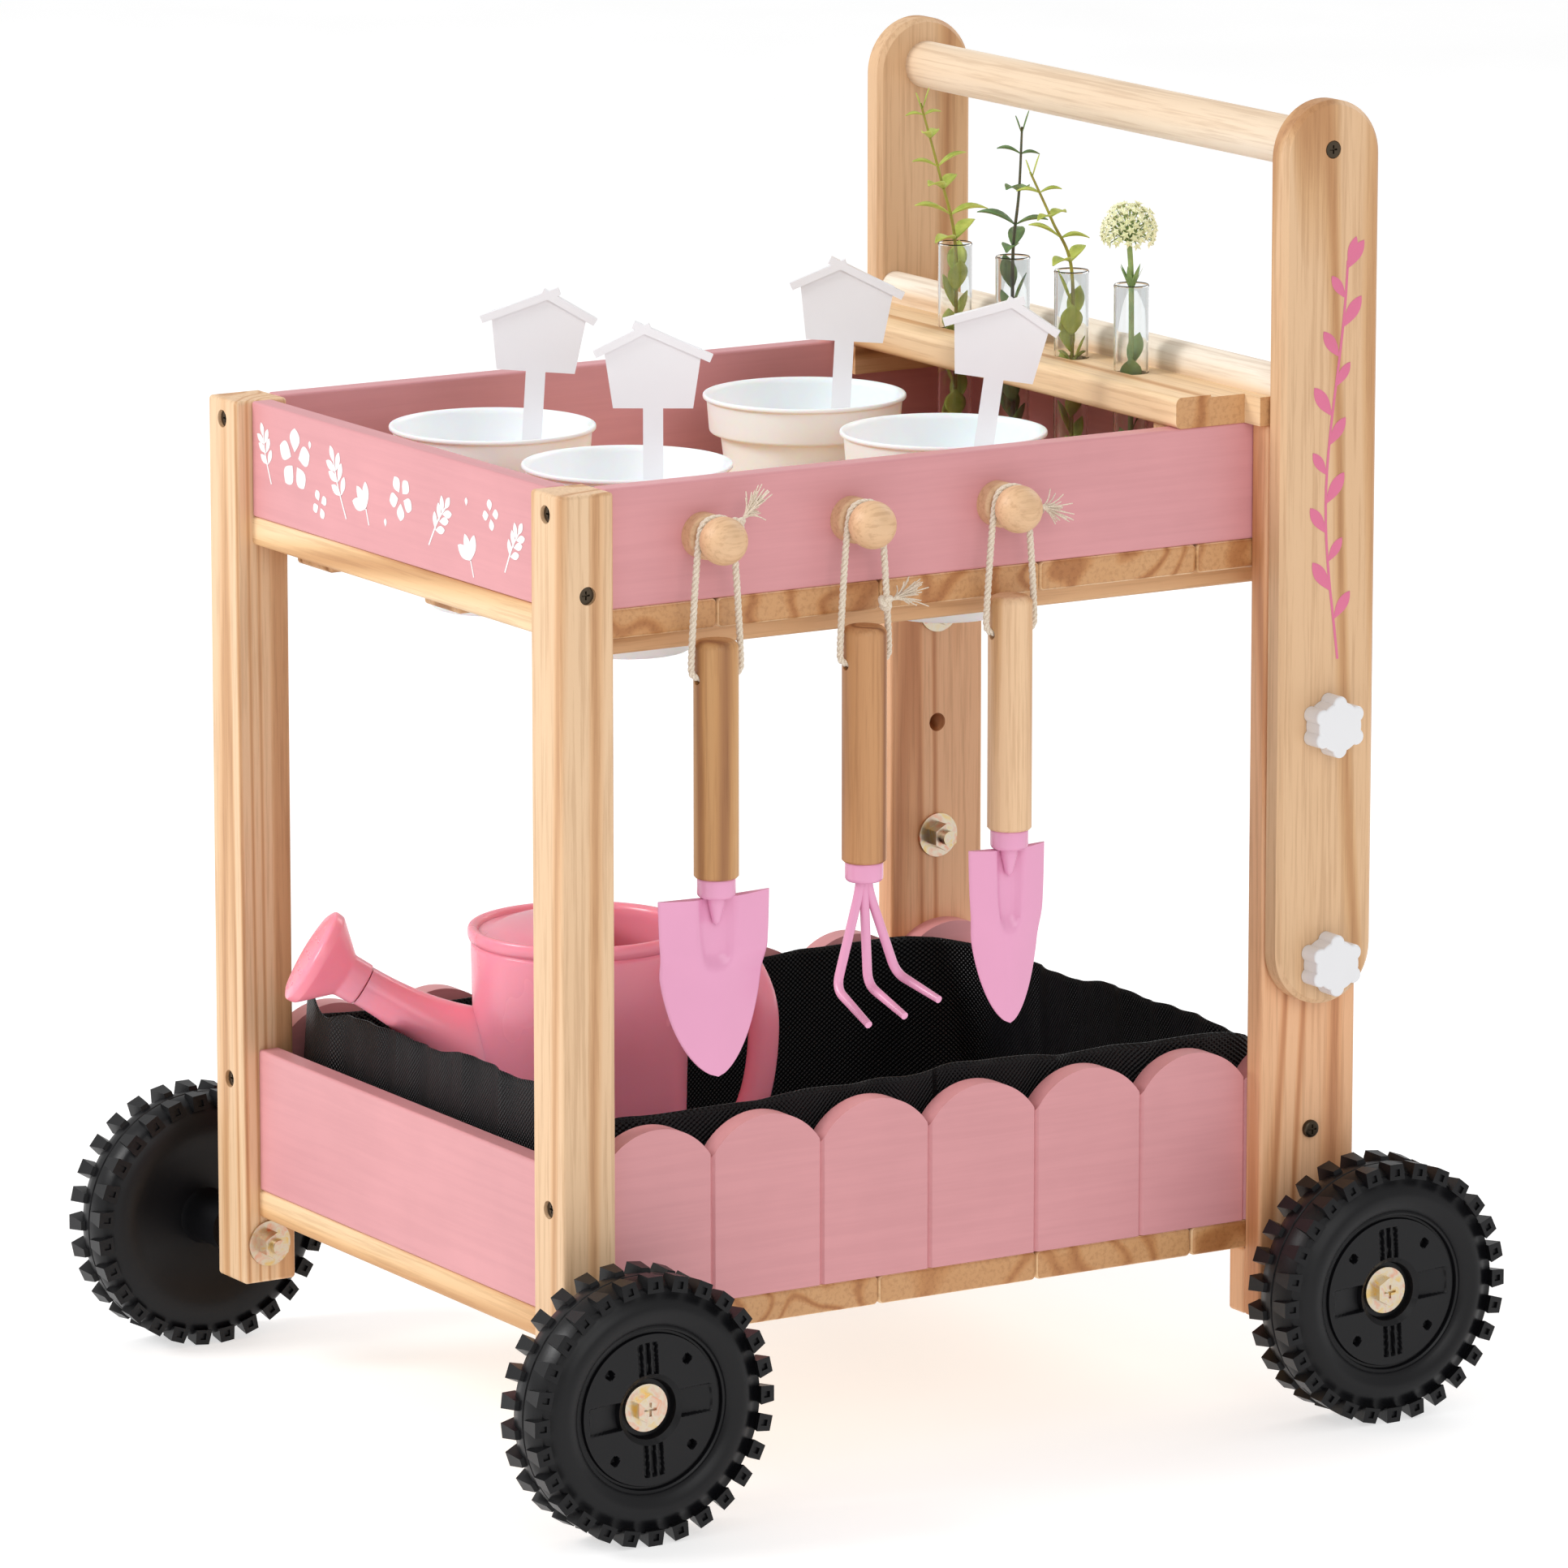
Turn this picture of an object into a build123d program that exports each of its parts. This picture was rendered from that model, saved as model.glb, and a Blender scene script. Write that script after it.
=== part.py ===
from build123d import *
import math
import os

# Push cart for a small garden: timber frame on four lugged wheels, a planter box below,
# a potting tray with four lift-out pots above, a rack of glass tubes and a height-set handle.
# +X is the side with the tool pegs, +Y is the handle end, +Z is up. Millimetres.
# Origin: on the floor, midway between the wheels.

os.makedirs("parts", exist_ok=True)

# ---- driving dimensions: wheels ----
WHEEL_R = 68.0
WHEEL_WIDTH = 35.5
WHEEL_STAND_OFF = 60.0       # outer face of a wheel from the face of the rear plank
AXLE_SETBACK = 14.0          # axles in from the ends of the frame
LUGS = 28
LUG_DEPTH = 6.5
LUG_SHARE = 0.56             # lug width as a share of the lug pitch
LUG_REACH = 14.5             # lug length across the tread
CUP_R = 15.0
CUP_DEPTH = 11.5             # cup floor behind the outer face of the wheel
BOSS_R = 13.0
RUN_CLEAR = 0.08             # radial running clearance of wheels and knobs
SIDE_CLEAR = 0.3             # axial running clearance

# ---- frame; heights stand on the axle line and on each other ----
FRAME_WIDTH = 360.0          # over the outside of the front posts
FRAME_LENGTH = 468.0         # front face of the posts to the back edge of the rear planks
POST = 30.0                  # square post
LEG_FOOT_Z = WHEEL_R - 21.0  # underside of posts and planks
FLOOR_TOP_Z = WHEEL_R + 29.0
TRAY_TOP_Z = FLOOR_TOP_Z + 416.0
TRAY_WALL = 60.0             # height of the tray walls
EDGE_EASE = 2.0              # rounding on sawn edges
PANEL = 12.0                 # painted wall thickness
PANEL_INSET = 9.0            # wall face behind the post face
PANEL_EASE = 1.5
PLANK_WIDTH = 58.0
PLANK_THICK = 14.0
BOARD = 15.0                 # deck and floor board thickness
BOARD_COUNT = 5
BOARD_OVERRUN = 4.0          # the last board is narrower by this much
BOARD_GAP = 0.6
BOARD_EASE = 2.5
BATTEN_WIDTH = 36.0
BATTEN_THICK = 12.0
BATTEN_OFFSET = 133.0
BATTEN_POST_GAP = 5.0        # front ends behind the posts
BATTEN_PLANK_LAP = 26.0      # back ends past the front edge of the rear planks
LEG_BLOCK_THICK = 14.0
SCREW_HEAD_R = 4.6
SCREW_RECESS = 5.0
SCREW_SHOW = 3.2             # height of a screw head in its recess
POST_SCREW_LOW = 57.5        # above the floor's top
POST_SCREW_HIGH = 10.5       # below the tray's top
SIDE_SCREW_DROP = 50.0       # side screw below the tray's top
PAN_SCREW_RISE = 47.5        # pan screw above the floor's top

# ---- planter box ----
BOX_WALL_HEIGHT = 75.0       # plain end walls
FENCE_VALLEY = 73.5          # valley height of the scalloped side walls above the floor
FENCE_RISE = 18.5
FENCE_PITCH = 63.8
FENCE_START_BACK = 2.8       # first valley falls this far in front of the wall's end
GROOVE_WIDTH = 3.0
GROOVE_DEPTH = 1.5
LINER_WALL = 1.5
LINER_CLEAR = 1.5            # liner to the walls and posts
LINER_SIDE_HEIGHT = 96.0
LINER_FRONT_HEIGHT = 106.0
SOFT_GAP = 0.3               # rest gap under soft and lift-out pieces

# ---- tube rack, measured back from the rear edge of the planks ----
RACK_THICK = 16.0
RACK_DEPTH = 104.0
RACK_STEP = 1.2
RACK_STEP_BACK = 83.0
RACK_EAR_GAP = 4.5           # ears start this far in front of the planks
RACK_EASE = 3.5
RAIL_THICK = 16.0
RAIL_HEIGHT = 15.0
RAIL_BACK = 48.0
CLEAT = 16.0
CLEAT_SETBACK = 5.0
TUBE_R = 9.0
TUBE_WALL = 1.0
TUBE_LENGTH = 120.0
TUBE_SPACING = 56.0
TUBE_BACK = 74.0
TUBE_HOLE_CLEAR = 0.4

# ---- handle ----
SIDE_THICK = 14.0
SIDE_BOTTOM_Z = TRAY_TOP_Z - 300.0
SIDE_TOP_Z = TRAY_TOP_Z + 165.0
SIDE_CHAMFER = 2.4
BAR_R = 12.5
BAR_DROP = 25.0              # bar centre below the top of the side plates
ADJUST_LOW_Z = TRAY_TOP_Z - 278.0
ADJUST_PITCH = 62.0

# ---- M8 hardware ----
BOLT_R = 4.0
BOLT_HOLE_R = 5.0
WASHER_R = 12.0
WASHER_THICK = 1.6
NUT_AF = 13.0
NUT_THICK = 6.5
LOCK_NUT_THICK = 8.0
BOLT_TIP = 3.4               # bolt end past its lock nut on a post
STUD_TIP = 4.0
STUD_OUT = 9.0
KNOB_R = 16.0
KNOB_THICK = 12.0
KNOB_LOBES = 6

# ---- pots ----
POT_X = 67.5
POT_FRONT_SETBACK = 104.0    # front pots behind the front of the frame
POT_SPACING_Y = 187.0
POT_RISE = 51.5              # lip above the deck
POT_HEIGHT = 94.5
POT_LIP_R = 53.0
POT_COLLAR_R = 51.0
POT_COLLAR_HEIGHT = 20.0
POT_BODY_R = 44.0
POT_TAPER = 0.118            # radius lost per millimetre of height
POT_WALL = 1.5
POT_FLOOR_RISE = 2.4         # pot floor above its foot
POT_HOLE_CLEAR = 0.35

# ---- name stakes ----
STAKE_THICK = 1.8
STAKE_STEM = 10.0
STAKE_RISE = 27.5            # underside of the house above the pot's lip
VIEW_YAW = 58.0              # the stakes face the corner between the pegs and the front

# ---- pegs and tools ----
PEG_DROP = 27.5              # pegs below the tray's top
PEG_SETBACK = 85.0           # first peg behind the front of the frame
PEG_PITCH = 85.7
PEG_BALL_R = 12.0
PEG_BALL_OUT = 21.0
PEG_NECK_R = 8.0
PEG_BASE_R = 11.5
PEG_BASE_LENGTH = 9.5
ROPE_R = 1.8
ROPE_OUT = 13.6              # rope plane in front of the tray wall
ROPE_GAP = 0.5               # rope to neck
GRIP_R = 11.2
GRIP_LENGTH = 119.0
GRIP_HOLE_R = 2.6
GRIP_HOLE_DROP = 19.0
FERRULE_R = 9.6
FERRULE_LENGTH = 10.0
BLADE_THICK = 1.6
TINE_R = 2.4
TINE_BEND = 7.0

# ---- watering can ----
CAN_X = -5.7
CAN_SETBACK = 118.5
CAN_SPOUT_ANGLE = -118.0
CAN_R = 56.5
CAN_FOOT_R = 53.5
CAN_RISE = 156.5             # rim above the planter's floor
CAN_WALL = 2.0
SPOUT_ROOT_R = 25.0
SPOUT_END_R = 10.4
CAN_HANDLE = ((50, 15.5), (82, 13.5), (94, 48.5), (80, 113.5), (46, 131.5))  # out, below the rim

half_w = FRAME_WIDTH / 2
front_y = -FRAME_LENGTH / 2
back_y = FRAME_LENGTH / 2
board_pitch = (FRAME_LENGTH + BOARD_OVERRUN) / BOARD_COUNT
deck_top_z = TRAY_TOP_Z - TRAY_WALL
wall_x = half_w - PANEL_INSET                 # outer face of the side walls
inner_x = wall_x - PANEL
wall_front_y = front_y + PANEL_INSET
wall_back_y = back_y - PANEL_INSET
plank_y0 = back_y - PLANK_WIDTH
plank_mid_y = back_y - PLANK_WIDTH / 2
plank_x = wall_x + PLANK_THICK                # outer face of the rear planks
side_x = plank_x + SIDE_THICK                 # outer face of the handle plates
post_in = half_w - POST
axle_y = FRAME_LENGTH / 2 - AXLE_SETBACK
axle_z = WHEEL_R
boss_end_x = plank_x + WASHER_THICK + SIDE_CLEAR
wheel_x = plank_x + WHEEL_STAND_OFF           # outer face of the wheels
cup_floor_x = wheel_x - CUP_DEPTH
bolt_tip_x = post_in - WASHER_THICK - LOCK_NUT_THICK - BOLT_TIP
rack_front_y = back_y - RACK_DEPTH
rail_y = back_y - RAIL_BACK
tube_y = back_y - TUBE_BACK
pot_top_z = deck_top_z + POT_RISE
pot_foot_z = pot_top_z - POT_HEIGHT
peg_z = TRAY_TOP_Z - PEG_DROP
can_y = front_y + CAN_SETBACK
pot_front_y = front_y + POT_FRONT_SETBACK
pot_back_y = pot_front_y + POT_SPACING_Y
peg_first_y = front_y + PEG_SETBACK
can_top_z = FLOOR_TOP_Z + CAN_RISE
spout_root = (48.0, 0.0, can_top_z - 69.5)
spout_end = (111.0, 0.0, can_top_z - 31.0)
spout_run = (Vector(spout_end) - Vector(spout_root)).normalized()
screw_rows = (FLOOR_TOP_Z + POST_SCREW_LOW, TRAY_TOP_Z - POST_SCREW_HIGH)
side_screw_z = TRAY_TOP_Z - SIDE_SCREW_DROP
pan_screw_z = FLOOR_TOP_Z + PAN_SCREW_RISE
adjust_rows = (ADJUST_LOW_Z, ADJUST_LOW_Z + 2 * ADJUST_PITCH)
bar_z = SIDE_TOP_Z - BAR_DROP


def block(x, y, z):
    """A box between pairs of limits along each axis."""
    return Pos((x[0] + x[1]) / 2, (y[0] + y[1]) / 2, (z[0] + z[1]) / 2) * Box(
        x[1] - x[0], y[1] - y[0], z[1] - z[0]
    )


def eased(x, y, z, radius=EDGE_EASE):
    """A box with every edge rounded."""
    body = block(x, y, z)
    return fillet(body.edges(), radius)


def rod(centre, radius, length, direction=(1, 0, 0)):
    """A cylinder that starts at centre and runs along direction."""
    plane = Plane(origin=centre, z_dir=direction)
    return plane * Pos(0, 0, length / 2) * Cylinder(radius, length)


def hex_prism(centre, across_flats, length, direction=(1, 0, 0)):
    """A hexagonal prism that starts at centre and runs along direction."""
    plane = Plane(origin=centre, z_dir=direction)
    sketch = plane * RegularPolygon(across_flats / 2, 6, major_radius=False)
    return extrude(sketch, amount=length, dir=plane.z_dir)


def save(name, shapes):
    """Write one node; a list becomes a group of separate solids."""
    if isinstance(shapes, (list, tuple)):
        shape = Compound(children=[s.solid() if hasattr(s, "solid") else s for s in shapes])
    else:
        shape = shapes.solid()
    export_step(shape, f"parts/{name}.step")


def mirrored(shape):
    """The same piece on the other side of the cart."""
    return mirror(shape, about=Plane.YZ)


# ---- legs ----
def front_post():
    post = eased((post_in, half_w), (front_y, front_y + POST), (LEG_FOOT_Z, TRAY_TOP_Z))
    mid_y = front_y + POST / 2
    post -= rod((post_in - 1, -axle_y, axle_z), BOLT_HOLE_R, POST + 2)
    for z in screw_rows:
        post -= rod((half_w - POST / 2, front_y - 1, z), SCREW_HEAD_R, SCREW_RECESS + 1, (0, 1, 0))
    post -= rod((half_w + 1, mid_y, side_screw_z), SCREW_HEAD_R, SCREW_RECESS + 1, (-1, 0, 0))
    return post


def rear_plank():
    plank = eased((wall_x, plank_x), (plank_y0, back_y), (LEG_FOOT_Z, TRAY_TOP_Z))
    plank -= rod((wall_x - 1, axle_y, axle_z), BOLT_HOLE_R, PLANK_THICK + 2)
    for i in range(3):
        z = ADJUST_LOW_Z + i * ADJUST_PITCH
        plank -= rod((wall_x - 1, plank_mid_y, z), BOLT_HOLE_R, PLANK_THICK + 2)
    return plank


def leg_block():
    """Packing piece inside the foot of a rear plank, under the floor."""
    x = (wall_x - LEG_BLOCK_THICK, wall_x)
    piece = eased(x, (plank_y0, back_y), (LEG_FOOT_Z, FLOOR_TOP_Z - BOARD))
    return piece - rod((x[0] - 1, axle_y, axle_z), BOLT_HOLE_R, LEG_BLOCK_THICK + 2)


# ---- decks ----
def boards(top_z, holes=()):
    """Five cross boards; the first is notched round the posts."""
    first = wall_front_y
    joint = front_y + board_pitch
    made = []
    for i in range(BOARD_COUNT):
        y0 = first if i == 0 else joint + (i - 1) * board_pitch + BOARD_GAP / 2
        y1 = back_y if i == BOARD_COUNT - 1 else joint + i * board_pitch - BOARD_GAP / 2
        board = eased((-wall_x, wall_x), (y0, y1), (top_z - BOARD, top_z), BOARD_EASE)
        if i == 0:
            for side in (-1, 1):
                x = sorted((side * post_in, side * (half_w + 1)))
                z = (top_z - BOARD - 1, top_z + 1)
                board -= block(x, (front_y, front_y + POST), z)
        for x, y, radius in holes:
            if y0 < y + radius and y1 > y - radius:
                board -= rod((x, y, top_z - BOARD - 1), radius, BOARD + 2, (0, 0, 1))
        made.append(board)
    return made


def batten(x):
    ends = (front_y + POST + BATTEN_POST_GAP, plank_y0 + BATTEN_PLANK_LAP)
    x = (x - BATTEN_WIDTH / 2, x + BATTEN_WIDTH / 2)
    z = (deck_top_z - BOARD - BATTEN_THICK, deck_top_z - BOARD)
    return eased(x, ends, z)


# ---- painted walls ----
def end_wall(outer_y, inner_y, half_length, z):
    y = sorted((outer_y, inner_y))
    return eased((-half_length, half_length), y, z, PANEL_EASE)


def side_wall(z):
    return eased((inner_x, wall_x), (front_y + POST, wall_back_y), z, PANEL_EASE)


def fence_wall():
    """Side wall with a scalloped top and a vee groove under every valley."""
    y0 = front_y + POST
    y1 = wall_back_y
    valley_z = FLOOR_TOP_Z + FENCE_VALLEY
    start = y0 - FENCE_START_BACK
    count = math.ceil((y1 - start) / FENCE_PITCH)
    half = FENCE_PITCH / 2
    radius = (half**2 + FENCE_RISE**2) / (2 * FENCE_RISE)
    centre_z = valley_z + FENCE_RISE - radius
    face = Plane.YZ * Pos((y0 + y1) / 2, (FLOOR_TOP_Z + valley_z) / 2) * Rectangle(
        y1 - y0, valley_z - FLOOR_TOP_Z
    )
    strip = Plane.YZ * Pos((y0 + y1) / 2, valley_z + FENCE_RISE / 2) * Rectangle(
        y1 - y0, FENCE_RISE
    )
    for i in range(count):
        centre = start + (i + 0.5) * FENCE_PITCH
        disc = Plane.YZ * Pos(centre, centre_z) * Circle(radius)
        face += disc & strip
    wall = Pos(inner_x, 0, 0) * extrude(face, amount=PANEL, dir=(1, 0, 0))
    for i in range(1, count):
        y = start + i * FENCE_PITCH
        vee = Plane.XY * Polygon(
            (wall_x + 0.01, y - GROOVE_WIDTH / 2),
            (wall_x - GROOVE_DEPTH, y),
            (wall_x + 0.01, y + GROOVE_WIDTH / 2),
            align=None,
        )
        if y1 - y > GROOVE_WIDTH:
            wall -= Pos(0, 0, FLOOR_TOP_Z - 1) * extrude(vee, amount=FENCE_VALLEY + 4, dir=(0, 0, 1))
    return wall


def liner():
    """Open fabric tub standing in the planter box; the front flap stands higher."""
    z0 = FLOOR_TOP_Z + SOFT_GAP
    tops = (FLOOR_TOP_Z + LINER_SIDE_HEIGHT, FLOOR_TOP_Z + LINER_FRONT_HEIGHT)

    def plan(shrink, z, back=None):
        x = inner_x - LINER_CLEAR - shrink
        y0 = wall_front_y + PANEL + LINER_CLEAR + shrink
        y1 = wall_back_y - PANEL - LINER_CLEAR - shrink if back is None else back
        shape = block((-x, x), (y0, y1), z)
        notch_x = post_in - LINER_CLEAR - shrink
        notch_y = front_y + POST + LINER_CLEAR + shrink
        for side in (-1, 1):
            corner = sorted((side * notch_x, side * half_w))
            shape -= block(corner, (front_y, notch_y), (z[0] - 1, z[1] + 1))
        return shape

    flap_back = wall_front_y + PANEL + LINER_CLEAR + LINER_WALL
    tub = plan(0.0, (z0, tops[0])) + plan(0.0, (z0, tops[1]), flap_back)
    return tub - plan(LINER_WALL, (z0 + LINER_WALL, tops[1] + 1))


# ---- tube rack ----
def tube_places():
    return [(TUBE_SPACING * (i - 1.5), tube_y) for i in range(4)]


def tube_rack():
    z = (TRAY_TOP_Z, TRAY_TOP_Z + RACK_THICK)
    ear_y = plank_y0 - RACK_EAR_GAP
    shelf = block((-wall_x, wall_x), (rack_front_y, back_y), z)
    shelf += block((-plank_x, plank_x), (ear_y, back_y), z)
    front = shelf.edges().filter_by(Axis.X).filter_by_position(Axis.Y, rack_front_y, rack_front_y)
    shelf = fillet(front, RACK_EASE)
    shelf -= block((-plank_x - 1, plank_x + 1), (back_y - RACK_STEP_BACK, rail_y), (z[1] - RACK_STEP, z[1] + 1))
    for x, y in tube_places():
        shelf -= rod((x, y, z[0] - 1), TUBE_R + TUBE_HOLE_CLEAR, RACK_THICK + 2, (0, 0, 1))
    return shelf


def rack_rail():
    """Round-topped rail along the back of the rack."""
    z0 = TRAY_TOP_Z + RACK_THICK - RACK_STEP
    y = (rail_y - RAIL_THICK / 2, rail_y + RAIL_THICK / 2)
    low = block((-plank_x, plank_x), (y[0], rail_y), (z0, z0 + 6))
    bar = block((-plank_x, plank_x), y, (z0 + RACK_STEP, z0 + RAIL_HEIGHT))
    bar += low
    top = bar.edges().filter_by(Axis.X).group_by(Axis.Z)[-1]
    return fillet(top, RAIL_THICK / 2 - 0.4)


def rack_cleat():
    x = (inner_x - CLEAT, inner_x)
    return block(x, (rack_front_y + CLEAT_SETBACK, wall_back_y - PANEL), (TRAY_TOP_Z - CLEAT, TRAY_TOP_Z))


# ---- handle ----
def handle_side():
    radius = PLANK_WIDTH / 2
    outline = Plane.YZ * Pos(plank_mid_y, (SIDE_BOTTOM_Z + SIDE_TOP_Z) / 2) * SlotOverall(
        SIDE_TOP_Z - SIDE_BOTTOM_Z, radius * 2, rotation=90
    )
    plate = Pos(plank_x, 0, 0) * extrude(outline, amount=SIDE_THICK, dir=(1, 0, 0))
    rims = plate.faces().sort_by(Axis.X)
    plate = chamfer(rims[0].edges() + rims[-1].edges(), SIDE_CHAMFER)
    for z in adjust_rows:
        plate -= rod((plank_x - 1, plank_mid_y, z), BOLT_HOLE_R, SIDE_THICK + 2)
    plate -= rod((side_x - 3.0, plank_mid_y, bar_z), SCREW_HEAD_R, 4.0)
    plate -= rod((plank_x - 1, plank_mid_y, bar_z), 2.2, SIDE_THICK)
    return plate


def handle_bar():
    bar = rod((-plank_x, plank_mid_y, bar_z), BAR_R, 2 * plank_x)
    for side in (-1, 1):
        start = (side * plank_x, plank_mid_y, bar_z)
        bar -= rod(start, 2.05, 25.0, (-side, 0, 0))
    return bar


def wood_screw(tip, direction, length, head_r=4.2):
    """Countersunk screw: direction points from the head's top into the wood."""
    plane = Plane(origin=tip, z_dir=direction)
    head = plane * Pos(0, 0, 1.2) * Cone(head_r, 2.0, 2.4)
    shank = plane * Pos(0, 0, length / 2) * Cylinder(2.0, length)
    screw = head + shank
    for turn in (0, 90):
        screw -= plane * Rot(0, 0, turn) * Pos(0, 0, 0.6) * Box(4.4, 0.9, 1.2)
    return screw


def frame_screws():
    """Screws of the posts, the handle bar and the planks; the walls are drilled to suit."""
    made = []
    for side in (-1, 1):
        for z in screw_rows:
            start = (side * (half_w - POST / 2), front_y + SCREW_RECESS - SCREW_SHOW, z)
            made.append(wood_screw(start, (0, 1, 0), SCREW_SHOW))
        start = (side * (half_w - SCREW_RECESS + SCREW_SHOW), front_y + POST / 2, side_screw_z)
        made.append(wood_screw(start, (-side, 0, 0), SCREW_SHOW))
        start = (side * side_x, plank_mid_y, bar_z)
        made.append(wood_screw(start, (-side, 0, 0), SIDE_THICK + 24))
        start = (side * plank_x, plank_mid_y + 1.5, pan_screw_z)
        made.append(pan_screw(start, side))
    return made


def pan_screw(seat, side):
    """Pan head standing on the outer face of a rear plank."""
    head = rod(seat, 4.6, 2.6, (side, 0, 0))
    rim = head.edges().sort_by(Axis.X)[-1 if side > 0 else 0]
    head = fillet(rim, 1.6)
    for size in ((1.4, 5.0, 1.0), (1.4, 1.0, 5.0)):
        head -= Pos(seat[0] + side * 2.4, seat[1], seat[2]) * Box(*size)
    return head


# ---- pegs ----
def peg(y):
    """Turned peg: base, rope groove and ball, glued to the tray wall."""
    x = wall_x
    base = rod((x, y, peg_z), PEG_BASE_R, PEG_BASE_LENGTH)
    base = fillet(base.edges().sort_by(Axis.X)[-1], 2.5)
    neck = rod((x, y, peg_z), PEG_NECK_R, PEG_BALL_OUT)
    ball = Pos(x + PEG_BALL_OUT, y, peg_z) * Sphere(PEG_BALL_R)
    keep = block((x + ROPE_OUT + ROPE_R + 0.4, x + 60), (y - 30, y + 30), (peg_z - 30, peg_z + 30))
    return base + neck + (ball & keep)


# ---- wheels ----
def wheel_profile():
    """Half section of the moulded wheel: x across the wheel, y the radius."""
    w0 = wheel_x - WHEEL_WIDTH
    w1 = wheel_x
    bore = BOLT_R + RUN_CLEAR
    tread = WHEEL_R - LUG_DEPTH
    with BuildLine() as line:
        Polyline(
            (boss_end_x, bore), (boss_end_x, BOSS_R), (w0 + 9, BOSS_R + 2), (w0 + 7, 26),
            (w0 + 3.5, 40), (w0 + 1.5, 44),
        )
        Spline((w0 + 1.5, 44), (w0 + 0.6, 52), (w0 + 4.0, tread))
        Line((w0 + 4.0, tread), (w1 - 4.0, tread))
        Spline((w1 - 4.0, tread), (w1 - 0.6, 53), (w1 - 3.5, 42.5))
        Polyline(
            (w1 - 3.5, 42.5), (w1 - 6.5, 41), (w1 - 6.5, 39.5), (w1 - 5.0, 38.5),
            (w1 - 5.0, CUP_R + 3), (w1 - 7.0, CUP_R), (cup_floor_x, CUP_R - 0.5),
            (cup_floor_x, bore), (boss_end_x, bore),
        )
    return line.line


def wheel():
    """Moulded wheel on the right-hand axle line, with two staggered rows of lugs."""
    section = make_face(wheel_profile())
    body = revolve(section, axis=Axis.X)
    tread = WHEEL_R - LUG_DEPTH
    pitch = 360.0 / LUGS
    width = 2 * math.pi * WHEEL_R / LUGS * LUG_SHARE
    w0 = wheel_x - WHEEL_WIDTH
    lugs = []
    for row, x in enumerate(((w0, w0 + LUG_REACH), (wheel_x - LUG_REACH, wheel_x))):
        side = block(x, (-width / 2, width / 2), (-WHEEL_R, -tread + 3.0))
        for i in range(LUGS):
            angle = (i + 0.5 * (1 - row)) * pitch
            lugs.append(Rot(angle, 0, 0) * side)
    body = body + lugs
    for i in range(4):
        hole = rod((wheel_x - 9, 31 * math.cos(math.radians(45 + 90 * i)),
                    31 * math.sin(math.radians(45 + 90 * i))), 2.3, 6.0)
        body -= hole
    return body


def axle_bolt():
    """M8 bolt from the wheel's cup through the leg, head outside."""
    head_x = cup_floor_x + SIDE_CLEAR + WASHER_THICK
    head = hex_prism((head_x, 0, 0), NUT_AF, 4.0)
    shank = rod((head_x, 0, 0), BOLT_R, head_x - bolt_tip_x, (-1, 0, 0))
    bolt = head + shank
    for size in ((3.0, 7.0, 1.4), (3.0, 1.4, 7.0)):
        bolt -= Pos(head_x + 4.0, 0, 0) * Box(*size)
    return bolt


def washer(x):
    return rod((x, 0, 0), WASHER_R, WASHER_THICK) - rod((x - 1, 0, 0), BOLT_R + 0.3, WASHER_THICK + 2)


def nut(x, thick):
    return hex_prism((x, 0, 0), NUT_AF, thick) - rod((x - 1, 0, 0), BOLT_R + 0.02, thick + 2)


def axle_hardware():
    """Bolts, washers and nuts of the four axles, on the right side and mirrored."""
    bolts = []
    washers = []
    nuts = []
    for y, leg_in, leg_out in ((-axle_y, post_in, half_w), (axle_y, wall_x - LEG_BLOCK_THICK, plank_x)):
        place = Pos(0, y, axle_z)
        bolt = place * axle_bolt()
        row = [place * washer(leg_in - WASHER_THICK), place * washer(cup_floor_x + SIDE_CLEAR)]
        nut_row = [place * nut(leg_in - WASHER_THICK - LOCK_NUT_THICK, LOCK_NUT_THICK)]
        if boss_end_x - leg_out > NUT_THICK:
            nut_row.append(place * nut(leg_out, NUT_THICK))
        else:
            row.append(place * washer(leg_out))
        for piece, target in ([(bolt, bolts)] + [(p, washers) for p in row] + [(p, nuts) for p in nut_row]):
            target.append(piece)
            target.append(mirrored(piece))
    return bolts, washers, nuts


def adjuster_hardware():
    """M8 studs that hold the handle plates, with washer and lock nut inside the planks."""
    bolts = []
    washers = []
    nuts = []
    tip = wall_x - WASHER_THICK - LOCK_NUT_THICK - STUD_TIP
    for z in adjust_rows:
        place = Pos(0, plank_mid_y, z)
        stud = place * rod((tip, 0, 0), BOLT_R, side_x + STUD_OUT - tip)
        ring = place * washer(wall_x - WASHER_THICK)
        lock = place * nut(wall_x - WASHER_THICK - LOCK_NUT_THICK, LOCK_NUT_THICK)
        for piece, target in ((stud, bolts), (ring, washers), (lock, nuts)):
            target.append(piece)
            target.append(mirrored(piece))
    return bolts, washers, nuts


def star_knob(z):
    """Six-lobed clamping knob turning on its stud."""
    start = (side_x + SIDE_CLEAR, plank_mid_y, z)
    plane = Plane(origin=start, z_dir=(1, 0, 0))
    outline = Circle(KNOB_R - 3.0)
    for i in range(KNOB_LOBES):
        angle = 360 / KNOB_LOBES * i
        outline += Rot(0, 0, angle) * Pos(KNOB_R - 4.2, 0) * Circle(4.2)
    for i in range(KNOB_LOBES):
        angle = 360 / KNOB_LOBES * (i + 0.5)
        outline -= Rot(0, 0, angle) * Pos(KNOB_R + 2.2, 0) * Circle(5.2)
    knob = extrude(plane * outline, amount=KNOB_THICK, dir=(1, 0, 0))
    top = knob.faces().sort_by(Axis.X)[-1]
    knob = fillet(top.edges(), 1.2)
    return knob - rod((side_x - 1, plank_mid_y, z), BOLT_R + RUN_CLEAR, STUD_OUT + 1 + SIDE_CLEAR)


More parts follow.
